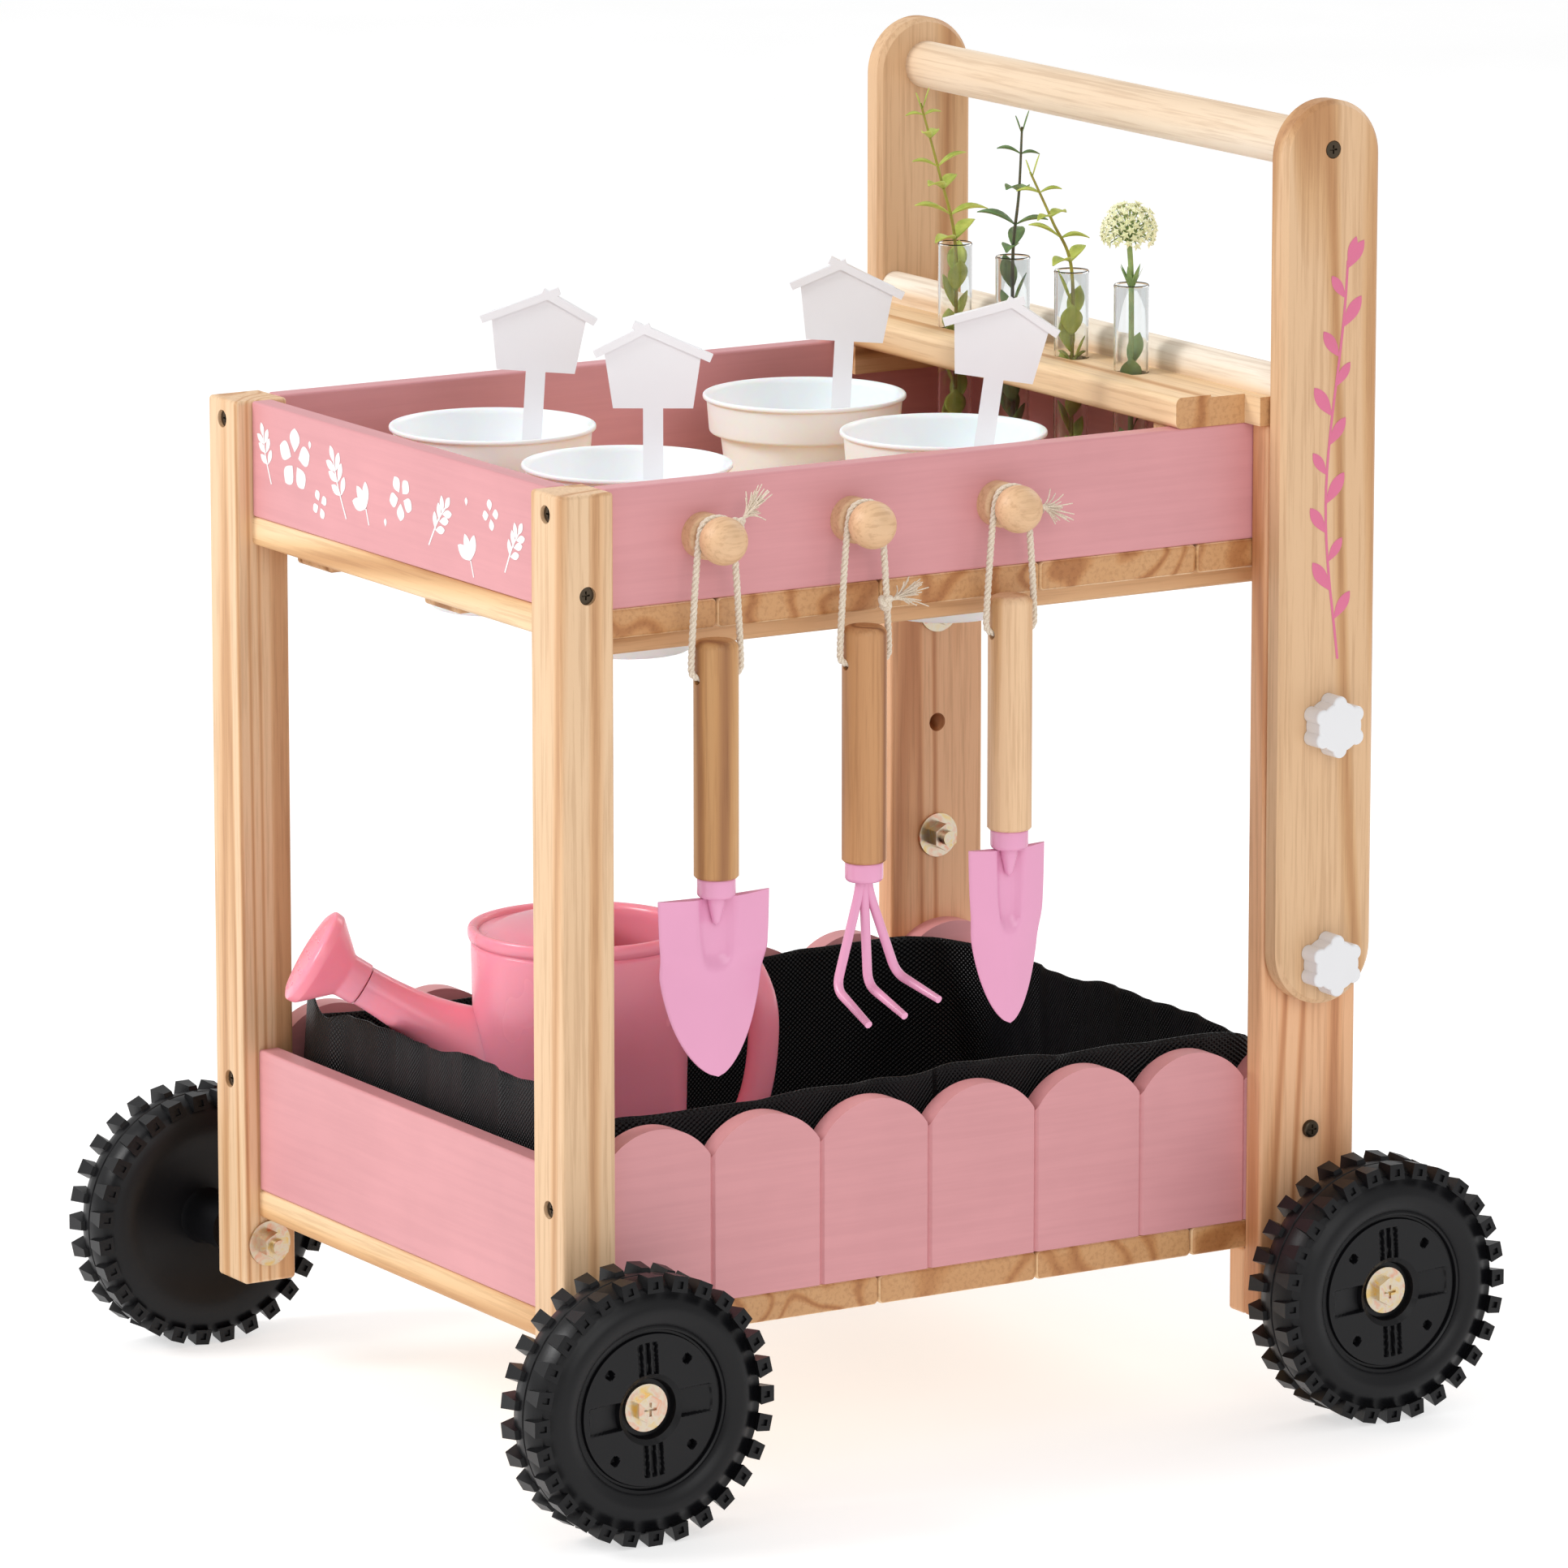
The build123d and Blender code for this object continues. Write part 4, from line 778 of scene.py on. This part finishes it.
def blade(node, name, body, reach=0.42):
    """Pressed blade: a pointed outline, dished across, with a tapering channel down from the neck.

    The half width is half * (1 - v^2.9)^0.62 at the share v of the way to the tip, and the
    channel ends at the share reach.
    """
    lo, hi = low(node), high(node)
    y, x = middle(node)[1], middle("wide_trowel_grip")[0]
    top, tip = hi[2] - 10.5, lo[2]
    half = (hi[1] - lo[1]) / 2
    v = np.linspace(0, 1, 70)[:, None]
    width = half * np.clip(1 - v**2.9, 0, 1) ** 0.62 * (1 - 0.06 * v) + 0.05
    a = np.linspace(0, TAU, 96, endpoint=False)[None, :]
    across = np.sign(np.cos(a)) * np.abs(np.cos(a)) ** 0.75
    face = np.clip(np.sin(a) * 3.0, -1, 1) * 0.8
    yy = width * across
    dish = -(yy / half) ** 2 * 3.6
    channel = half * 0.29 * np.sqrt(np.clip(1 - (v / reach) ** 3, 0, 1)) + 0.3
    groove = -np.exp(-((yy / channel) ** 6)) * 4.0 * (1 - smoothstep(v, reach * 0.75, reach))
    crease = -0.13 * np.abs(yy) * smoothstep(v, reach * 0.7, reach * 1.1)
    xx = x + 1.0 + dish + groove + crease + face
    zz = np.broadcast_to(top + (tip - top) * v, yy.shape)
    zz = zz + 1.0 * (1 - v) * (yy / half) ** 2
    skin = np.stack([xx, y + yy, zz], -1)
    patch = Patch().grid(skin, close_v=True)
    patch.fan(skin[0], skin[0].mean(0)).fan(skin[-1], skin[-1].mean(0))
    neck = [(8.2, hi[2] - 10.0), (4.6, hi[2] - 10.2), (4.2, top - 3), (2.0, top - 12), (AXIS_R, top - 14)]
    patch.grid(lathe(ferrule(hi[2], neck), (x, y, 0), 48), close_u=True)
    patch.build(name, coat, body, "pink_steel", [node], sharp=50)


# Each tine: places across at its root, bend and tip, then depths of the bend and the tip.
TINES = (
    (-3.0, -16.5, -17.7, 52.0, 64.0),
    (0.0, 2.0, 3.3, 52.0, 62.0),
    (3.0, 18.5, 23.3, 48.0, 56.0),
)
TINE_REACH = 33.0
TINE_R = 2.4


def rake():
    """Three round tines that leave the ferrule together, spread, and bend outwards at the ends."""
    x, y, _ = middle("hand_rake_grip")
    z = high("hand_rake_head")[2]
    patch = Patch()
    patch.grid(lathe(ferrule(z, [(8.4, z - 10.0), (AXIS_R, z - 10.2)]), (x, y, 0), 48), close_u=True)
    root = z - 11
    for start, knee, tip, bend, drop in TINES:
        points = rounded([(x, y + start * 0.6, root + 4), (x, y + start, root - 5),
                          (x + 0.5, y + knee, root - bend), (x + TINE_REACH, y + tip, root - drop)], 7.0, 8)
        radius = np.full(len(points), TINE_R)
        radius[-1] = 1.9
        patch.grid(tube(points, radius, 16), close_v=True)
    patch.build("forged_rake", coat, "hand_rake_body", "pink_steel", ["hand_rake_head"], sharp=50)


blade("wide_trowel_head", "pressed_wide_blade", "wide_trowel_body")
blade("narrow_trowel_head", "pressed_narrow_blade", "narrow_trowel_body", 0.5)
rake()


# ---------------------------------------------------------------- rope loops
ROPE_R = 1.8
ROPE_LAY, STRANDS = 9.0, 3     # length of one turn of a strand, and how many strands there are
GRIP_R, PEG_NECK_R = 11.2, 8.0
EYE_DROP = 19.0                # from a grip's top to the hole that its rope runs through
KNOT_R = 3.2
YARNS, YARN_LONG = 40, 15.0


def rope_route(y, hole_z, peg_z, x):
    """Loop from the grip's hole, up over the peg's groove and back to the hole."""
    side = GRIP_R + ROPE_R + 1.4
    over = PEG_NECK_R + ROPE_R + 0.5
    corner = over * math.tan(math.radians(30))
    return [
        (x, y + 3.0, hole_z), (x, y + side - 0.6, hole_z), (x, y + side, hole_z + 9.0),
        (x, y + over, peg_z + corner * 0.2), (x, y + over * 0.62, peg_z + over),
        (x, y - over * 0.62, peg_z + over), (x, y - over, peg_z + corner * 0.2),
        (x, y - side, hole_z + 9.0), (x, y - side + 0.6, hole_z), (x, y - 3.0, hole_z),
    ]


def spline_points(route):
    """Points of the NURBS curve whose control points are the route."""
    curve = bpy.data.curves.new("route", "CURVE")
    curve.dimensions = "3D"
    curve.resolution_u = 10
    spline = curve.splines.new("NURBS")
    spline.points.add(len(route) - 1)
    for point, place in zip(spline.points, route):
        point.co = (*(v * MM for v in place), 1)
    spline.order_u = 3
    spline.use_endpoint_u = True
    holder = bpy.data.objects.new("route", curve)
    mesh = bpy.data.meshes.new_from_object(holder)
    points = np.array([v.co for v in mesh.vertices])
    bpy.data.objects.remove(holder)
    bpy.data.meshes.remove(mesh)
    return points / MM


def strands(path):
    """Round strands wound as helices about the path."""
    length = np.concatenate([[0], np.cumsum(np.linalg.norm(np.diff(path, axis=0), axis=1))])
    fine = np.linspace(0, length[-1], int(length[-1] / 0.75))
    line = np.stack([np.interp(fine, length, path[:, i]) for i in range(3)], -1)
    _, normal, binormal = frames(line)
    for k in range(STRANDS):
        phase = (fine / ROPE_LAY + k / STRANDS) * TAU
        yield line + (np.cos(phase)[:, None] * normal + np.sin(phase)[:, None] * binormal) * ROPE_R * 0.5


def fray(patch, place, direction, rng):
    """Loose yarns that leave a bound end and spread; each is a straight run plus a squared bend."""
    direction = np.asarray(direction, float) / np.linalg.norm(direction)
    for _ in range(YARNS):
        spread = rng.normal(0, 0.26, 3)
        bend = rng.normal(0, 0.25, 3)
        t = np.linspace(0, 1, 6)[:, None]
        run = YARN_LONG * rng.uniform(0.75, 1.0)
        line = place + t * run * (direction + spread * t) + bend * t**2 * run * 0.5
        patch.grid(tube(line, np.linspace(0.55, 0.3, 6), 5), close_v=True)


def knot(patch, centre, rng):
    """Rope wound on itself: a trefoil tube drawn tight."""
    t = np.linspace(0, TAU, 60, endpoint=False)
    line = np.stack([np.sin(t) + 2 * np.sin(2 * t), np.cos(t) - 2 * np.cos(2 * t), -np.sin(3 * t)], -1)
    line = line[:, [2, 0, 1]] * KNOT_R / 3.0 * rng.uniform(0.95, 1.05, 3)
    closed = np.vstack([line, line[:1]])
    patch.grid(tube(closed + centre, 1.5, 8), close_v=True)


def rope(tool, seed, knot_at, direction):
    """Three-strand loop on a tool, with a knot beside its peg and a frayed end that points one way."""
    node = tool + "_rope"
    x, y, _ = middle(node)
    grip_top = high(tool + "_grip")[2]
    peg_z = middle("tool_pegs")[2]
    route = rope_route(y, grip_top - EYE_DROP, peg_z, x)
    path = spline_points(route)
    patch = Patch()
    for line in strands(path):
        patch.grid(tube(line, ROPE_R * 0.52, 7), close_v=True)
    piece = patch.build(tool + "_cord", rope_cotton, tool + "_body", "natural_rope", [node], sharp=80)
    rng = np.random.default_rng(seed)
    ends = Patch()
    centre = np.array([x + 0.5, y + knot_at[0], peg_z + knot_at[1]])
    knot(ends, centre, rng)
    fray(ends, centre + np.asarray(direction) * 2.0, direction, rng)
    tail = ends.build(tool + "_cord_knot", rope_cotton, tool + "_body", "natural_rope", sharp=80)


rope("wide_trowel", 3, (12.5, 6.0), (0.1, 0.7, 0.75))
rope("hand_rake", 5, (12.0, -41.0), (0.25, 0.85, 0.35))
rope("narrow_trowel", 8, (13.5, 0.0), (0.1, 0.9, -0.3))


# ---------------------------------------------------------------- printed patterns
PRINT_LIFT = 0.12              # how far a print stands off its wood
PETAL_CROWN = 0.12             # how much farther the middle line of a petal stands off
# On the front tray wall: places across and up from its middle, then as named.
BLOSSOMS = ((-104, 6, 25, 0.3), (6, 3, 18, 0.9), (96, 8, 12, 0.2), (-78, -13, 12, 0.5))    # size, turn
SPRAYS = ((-134, 4, 1.9, 30), (-58, 0, 2.0, 36), (44, -4, 0.9, 32), (118, -6, 1.0, 30))    # lean, size
BUDS = ((-30, -2, 2.3), (76, -12, 2.0))                                                    # lean
DOTS = ((-88, 14), (-10, -14), (72, 9))


def petal(base, angle, length, width, plane):
    """Flat leaf on a wall: its half width is a sine of a power of the run; plane maps (u, v) to 3-D."""
    t = np.linspace(0, 1, 14)[:, None]
    s = np.linspace(-1, 1, 5)[None, :]
    half = width / 2 * np.sin(math.pi * t**1.25) ** 0.8
    along, across = length * t + 0 * s, half * s
    c, d = math.cos(angle), math.sin(angle)
    u = base[0] + along * c - across * d
    v = base[1] + along * d + across * c
    return plane(u, v, PRINT_LIFT + PETAL_CROWN * (1 - s**2) * np.ones_like(t))


def stroke(points, width, plane):
    """Flat line of one width through the points."""
    p = smooth_path(np.array([(a, b, 0.0) for a, b in points]), 24)[:, :2]
    d = np.gradient(p, axis=0)
    d /= np.linalg.norm(d, axis=1, keepdims=True)
    side = np.stack([-d[:, 1], d[:, 0]], -1) * width / 2
    s = np.linspace(-1, 1, 3)[None, :]
    u = p[:, :1] + side[:, :1] * s
    v = p[:, 1:] + side[:, 1:] * s
    return plane(u, v, PRINT_LIFT + 0 * u)


def front_plane(u, v, lift):
    """From across and up on the front tray wall to a place in space."""
    y = low("tray_front_wall")[1]
    return np.stack([u, y - lift, v], -1)


def right_plane(u, v, lift):
    """From along and up on the right handle plate to a place in space."""
    x = high("handle_side_right")[0]
    return np.stack([x + lift, u, v], -1)


def blossom(patch, u, v, size, turn):
    """Petals set round a small open eye: five on a large blossom, four on a small one."""
    petals = 5 if size > 15 else 4
    for k in range(petals):
        a = turn + TAU * k / petals
        base = (u + size * 0.16 * math.cos(a), v + size * 0.16 * math.sin(a))
        patch.grid(petal(base, a, size * 0.5, size * 0.42, front_plane))


def spray(patch, centre, lean, size):
    """Bowed stem with a leaf at its tip and three pairs of leaves along it."""
    d = np.array([math.cos(lean), math.sin(lean)])
    n = np.array([-d[1], d[0]])
    start, end = centre - d * size / 2, centre + d * size * 0.35
    patch.grid(stroke([start, centre + n * 1.2, end], 1.1, front_plane))
    patch.grid(petal(end - d, lean, size * 0.26, size * 0.13, front_plane))
    for t in (-0.16, 0.04, 0.2):
        for side in (-1, 1):
            foot = centre + d * size * t
            patch.grid(petal(foot, lean + side * 0.75, size * 0.3, size * 0.13, front_plane))


def flower_row():
    """White sprays, blossoms, buds and dots in a row along the front tray wall."""
    patch = Patch()
    z = middle("tray_front_wall")[2]
    for u, v, size, turn in BLOSSOMS:
        blossom(patch, u, z + v, size, turn)
    for u, v, lean, size in SPRAYS:
        spray(patch, np.array([u, z + v]), lean, size)
    for u, v, lean in BUDS:
        for k in (-0.7, 0.0, 0.7):
            patch.grid(petal((u, z + v - 6), lean + k, 14, 6.5, front_plane))
        patch.grid(stroke([(u + 3, z + v - 14), (u, z + v - 6)], 1.0, front_plane))
    for u, v in DOTS:
        patch.grid(petal((u, z + v), 1.6, 4.2, 2.8, front_plane))
    patch.build("front_print", print_white, "frame", "white_plastic", sharp=80)


def vine():
    """Pink vine that climbs the right handle plate, leaves on alternate sides of a fading wave."""
    y = middle("handle_side_right")[1]
    z0, z1 = 392.0, 598.0

    def spine(t):
        """Place along the plate and height at the share t of the climb."""
        wave = 5.5 * np.sin(t * 5.6 + 2.4) * (1 - 0.35 * t)
        return y + 2.0 + wave + 4.0 * t**3, z0 + (z1 - z0) * t

    patch = Patch()
    patch.grid(stroke([spine(t) for t in np.linspace(0, 0.99, 12)], 1.5, right_plane))
    for k, t in enumerate(np.linspace(0.1, 0.97, 13)):
        side = 1 if k % 2 == 0 else -1
        size = 17 + 2.5 * math.sin(2.1 * k)
        angle = math.pi / 2 - side * 0.62
        patch.grid(petal(spine(t), angle, size, size * 0.38, right_plane))
    patch.grid(petal(spine(0.98), math.pi / 2 - 0.35, 15, 5.4, right_plane))
    patch.build("vine_print", print_pink, "frame", "pink_paint", sharp=80)


flower_row()
vine()


# ---------------------------------------------------------------- sprigs in the tubes
TUBE_LEAF = (6.8, 11.0)        # length and width of a leaf folded inside a tube
TUBE_REACH = 7.2               # longest leaf of a pair that still has room inside a tube
GOLDEN_ANGLE = 2.39996
FLORETS = 140


def leaf(base, heading, rise, length, width, curl=0.35):
    """Cupped leaf: half width is a sine of the run, and the leaf bends down along its length."""
    t = np.linspace(0, 1, 9)[:, None]
    s = np.linspace(-1, 1, 7)[None, :]
    half = width / 2 * np.sin(math.pi * np.clip(t, 0.02, 0.985) ** 0.85)
    along = length * t + 0 * s
    up = along * math.tan(rise) - curl * length * t**2 + 0.22 * width * s**2 * np.sin(math.pi * t)
    c, d = math.cos(heading), math.sin(heading)
    x = base[0] + along * c - half * s * d
    y = base[1] + along * d + half * s * c
    return np.stack([x, y, base[2] + up], -1)


def sprig(number, tip, levels, size, leaf_material, stem_material, rng):
    """Stem from the tube's foot to its tip with leaf pairs, each pair turned from the last."""
    node = f"glass_tube_{number}"
    x, y, _ = middle(node)
    foot, mouth = low(node)[2] + 6, high(node)[2]
    line = smooth_path([(x + 2, y - 1, foot), (x - 1, y + 1, (foot + mouth) / 2), (x, y, mouth),
                        ((x + tip[0]) / 2 + 1.5, (y + tip[1]) / 2, (mouth + tip[2]) / 2), tip], 50)
    Patch().grid(tube(line, np.linspace(1.2, 0.6, 50), 8), close_v=True).build(
        f"sprig_stem_{number}", stem_material, f"glass_tube_{number}_body", sharp=80)
    patch = Patch()
    for k, level in enumerate(levels):
        base = line[int(level * (len(line) - 1))]
        inside = base[2] < mouth - 2
        heading = math.radians(58) + (math.pi / 2) * (k % 2) * 0.8 + rng.uniform(-0.3, 0.3)
        shrink = 1 - 0.55 * max(0, level - 0.55) / 0.45
        for turn in (0, math.pi):
            length = size * rng.uniform(0.85, 1.15) * shrink
            if inside:
                length = min(length, TUBE_REACH)
                patch.grid(leaf(base, heading + turn, 0.9, length, length * 0.95))
            else:
                patch.grid(leaf(base, heading + turn, rng.uniform(0.3, 0.7), length, length * 0.46))
    patch.grid(leaf(line[-2], 1.0, 1.25, 3.4, 4.6, -0.3))
    patch.grid(leaf(line[-2], 1.0 + math.pi, 1.2, 3.0, 4.0, -0.3))
    for k in range(12):
        level = foot + (mouth - foot) * (0.03 + 0.075 * k)
        patch.grid(leaf((x, y, level), 2.4 * k + number, 1.12, *TUBE_LEAF, -0.4))
    piece = patch.build(f"sprig_leaves_{number}", leaf_material, f"glass_tube_{number}_body", sharp=80)
    thick = piece.modifiers.new("leaf", "SOLIDIFY")
    thick.thickness = 0.0005


def flower_ball(number, centre, radius, rng):
    """Globe of small star florets on stalks that meet at the head of a thick stem."""
    node = f"glass_tube_{number}"
    x, y, _ = middle(node)
    foot, mouth = low(node)[2] + 6, high(node)[2]
    centre = np.array(centre, float)
    stem = smooth_path([(x, y, foot), (x, y, mouth - 8), centre - [0, 0, 4]], 20)
    stalks = Patch().grid(tube(stem, 1.5, 8), close_v=True)
    florets = Patch()
    for k in range(FLORETS):
        z = 1 - 2 * (k + 0.5) / FLORETS
        a = k * GOLDEN_ANGLE
        d = np.array([math.sqrt(1 - z * z) * math.cos(a), math.sqrt(1 - z * z) * math.sin(a), z])
        if z < -0.5:
            continue
        head = centre + d * radius * rng.uniform(0.82, 0.97)
        if k % 2 == 0:
            stalks.grid(tube([centre - [0, 0, 6], centre + d * radius * 0.5, head], 0.35, 5), close_v=True)
        side = np.cross(d, [0.2, 0.5, 0.84])
        side /= np.linalg.norm(side)
        other = np.cross(d, side)
        b = np.linspace(0, TAU, 10, endpoint=False)[:, None]
        point = (np.arange(10) % 2)[:, None]
        ring = head + (side * np.cos(b) + other * np.sin(b)) * (1.3 + 1.4 * point) + d * 1.1 * point
        florets.fan(ring, head + d * 0.9)
        florets.fan(ring[::-1], head - d * 0.8)
    for k in range(7):
        a = TAU * k / 7
        stalks.grid(leaf((x, y, mouth - 4), a, 1.1, 6.5, 3.2, -0.2))
        stalks.grid(leaf((x, y, foot + 12 * k), 2.4 * k, 1.12, *TUBE_LEAF, -0.4))
    stalks.build(f"flower_stalk_{number}", leaf_fresh, f"glass_tube_{number}_body", sharp=80)
    florets.build(f"flower_head_{number}", floret, f"glass_tube_{number}_body", "white_plastic", sharp=80)


def sprigs():
    """Three leafy sprigs and a flower ball, leaning as they stand in their tubes."""
    rng = np.random.default_rng(11)
    x = [middle(f"glass_tube_{n}")[0] for n in TUBES]
    y = middle("glass_tube_1")[1]
    levels = (0.3, 0.53, 0.61, 0.7, 0.79, 0.88, 0.96)
    sprig(1, (x[0] - 9, y - 16, 647.0), levels, 21.0, leaf_lime, stem_lime, rng)
    sprig(2, (x[1] + 2, y + 4, 641.0), (0.3, 0.54, 0.63, 0.76, 0.9), 20.0, leaf_green, stem_dark, rng)
    sprig(3, (x[2] - 12, y - 18, 624.0), (0.3, 0.55, 0.66, 0.78, 0.9), 19.0, leaf_lime, stem_lime, rng)
    flower_ball(4, (x[3] - 1, y - 1, 601.0), 15.0, rng)


sprigs()


# ---------------------------------------------------------------- stage, light and camera
FLOOR_HALF = 6.0
FLOOR_GLOW = 0.6
WORLD_STRENGTH = 0.66


def stage():
    """One pale square floor under the cart, with a little glow of its own."""
    f = Finish("pale_floor", Roughness=0.7, Emission_Color=(1, 1, 1, 1), Emission_Strength=FLOOR_GLOW)
    f.colour(f.ramp(f.noise(f.coords(), 3.0, 3.0), (0.3, (0.5, 0.5, 0.5)), (0.7, (0.54, 0.54, 0.54))))
    s = FLOOR_HALF
    mesh = bpy.data.meshes.new("studio_floor")
    mesh.from_pydata([(-s, -s, 0), (s, -s, 0), (s, s, 0), (-s, s, 0)], [], [(0, 1, 2, 3)])
    mesh.materials.append(f.material)
    piece = bpy.data.objects.new("studio_floor", mesh)
    bpy.context.scene.collection.objects.link(piece)


def area_light(name, place, target, size, power):
    """Round soft light at a place, turned towards a target."""
    data = bpy.data.lights.new(name, "AREA")
    data.shape = "DISK"
    data.size = size
    data.energy = power
    lamp = bpy.data.objects.new(name, data)
    lamp.location = place
    lamp.rotation_euler = (Vector(target) - Vector(place)).to_track_quat("-Z", "Y").to_euler()
    bpy.context.scene.collection.objects.link(lamp)


def light():
    """Key from the front left, fill from the right, back light, and an even white sky."""
    area_light("key", (-1.2, -3.0, 2.6), (0, 0, 0.3), 1.5, 84)
    area_light("fill", (3.4, -0.6, 1.9), (0, 0, 0.3), 2.4, 30)
    area_light("back", (-1.0, 3.0, 2.4), (0, 0, 0.4), 2.0, 36)
    world = bpy.data.worlds.new("studio")
    world.use_nodes = True
    sky = world.node_tree.nodes["Background"]
    sky.inputs["Color"].default_value = (1, 1, 1, 1)
    sky.inputs["Strength"].default_value = WORLD_STRENGTH
    bpy.context.scene.world = world
    bpy.context.scene.view_settings.view_transform = "Standard"


VIEW_AZIMUTH, VIEW_ELEVATION = math.radians(58.51), math.radians(11.62)
VIEW_DISTANCE = 5.177
AIM_RIGHT, AIM_UP = 0.00269, 0.3148
LENS = 230.7


def camera():
    """Long lens that looks at the aim point from the view's azimuth and elevation."""
    right = Vector((math.cos(VIEW_AZIMUTH), math.sin(VIEW_AZIMUTH), 0))
    target = right * AIM_RIGHT + Vector((0, 0, AIM_UP))
    level = math.cos(VIEW_ELEVATION)
    back = Vector((math.sin(VIEW_AZIMUTH) * level, -math.cos(VIEW_AZIMUTH) * level, math.sin(VIEW_ELEVATION)))
    data = bpy.data.cameras.new("camera")
    data.sensor_width = 36.0
    data.lens = LENS
    data.clip_end = 50
    eye = bpy.data.objects.new("camera", data)
    eye.location = target + back * VIEW_DISTANCE
    eye.rotation_euler = (-back).to_track_quat("-Z", "Y").to_euler()
    bpy.context.scene.collection.objects.link(eye)
    bpy.context.scene.camera = eye


stage()
light()
camera()
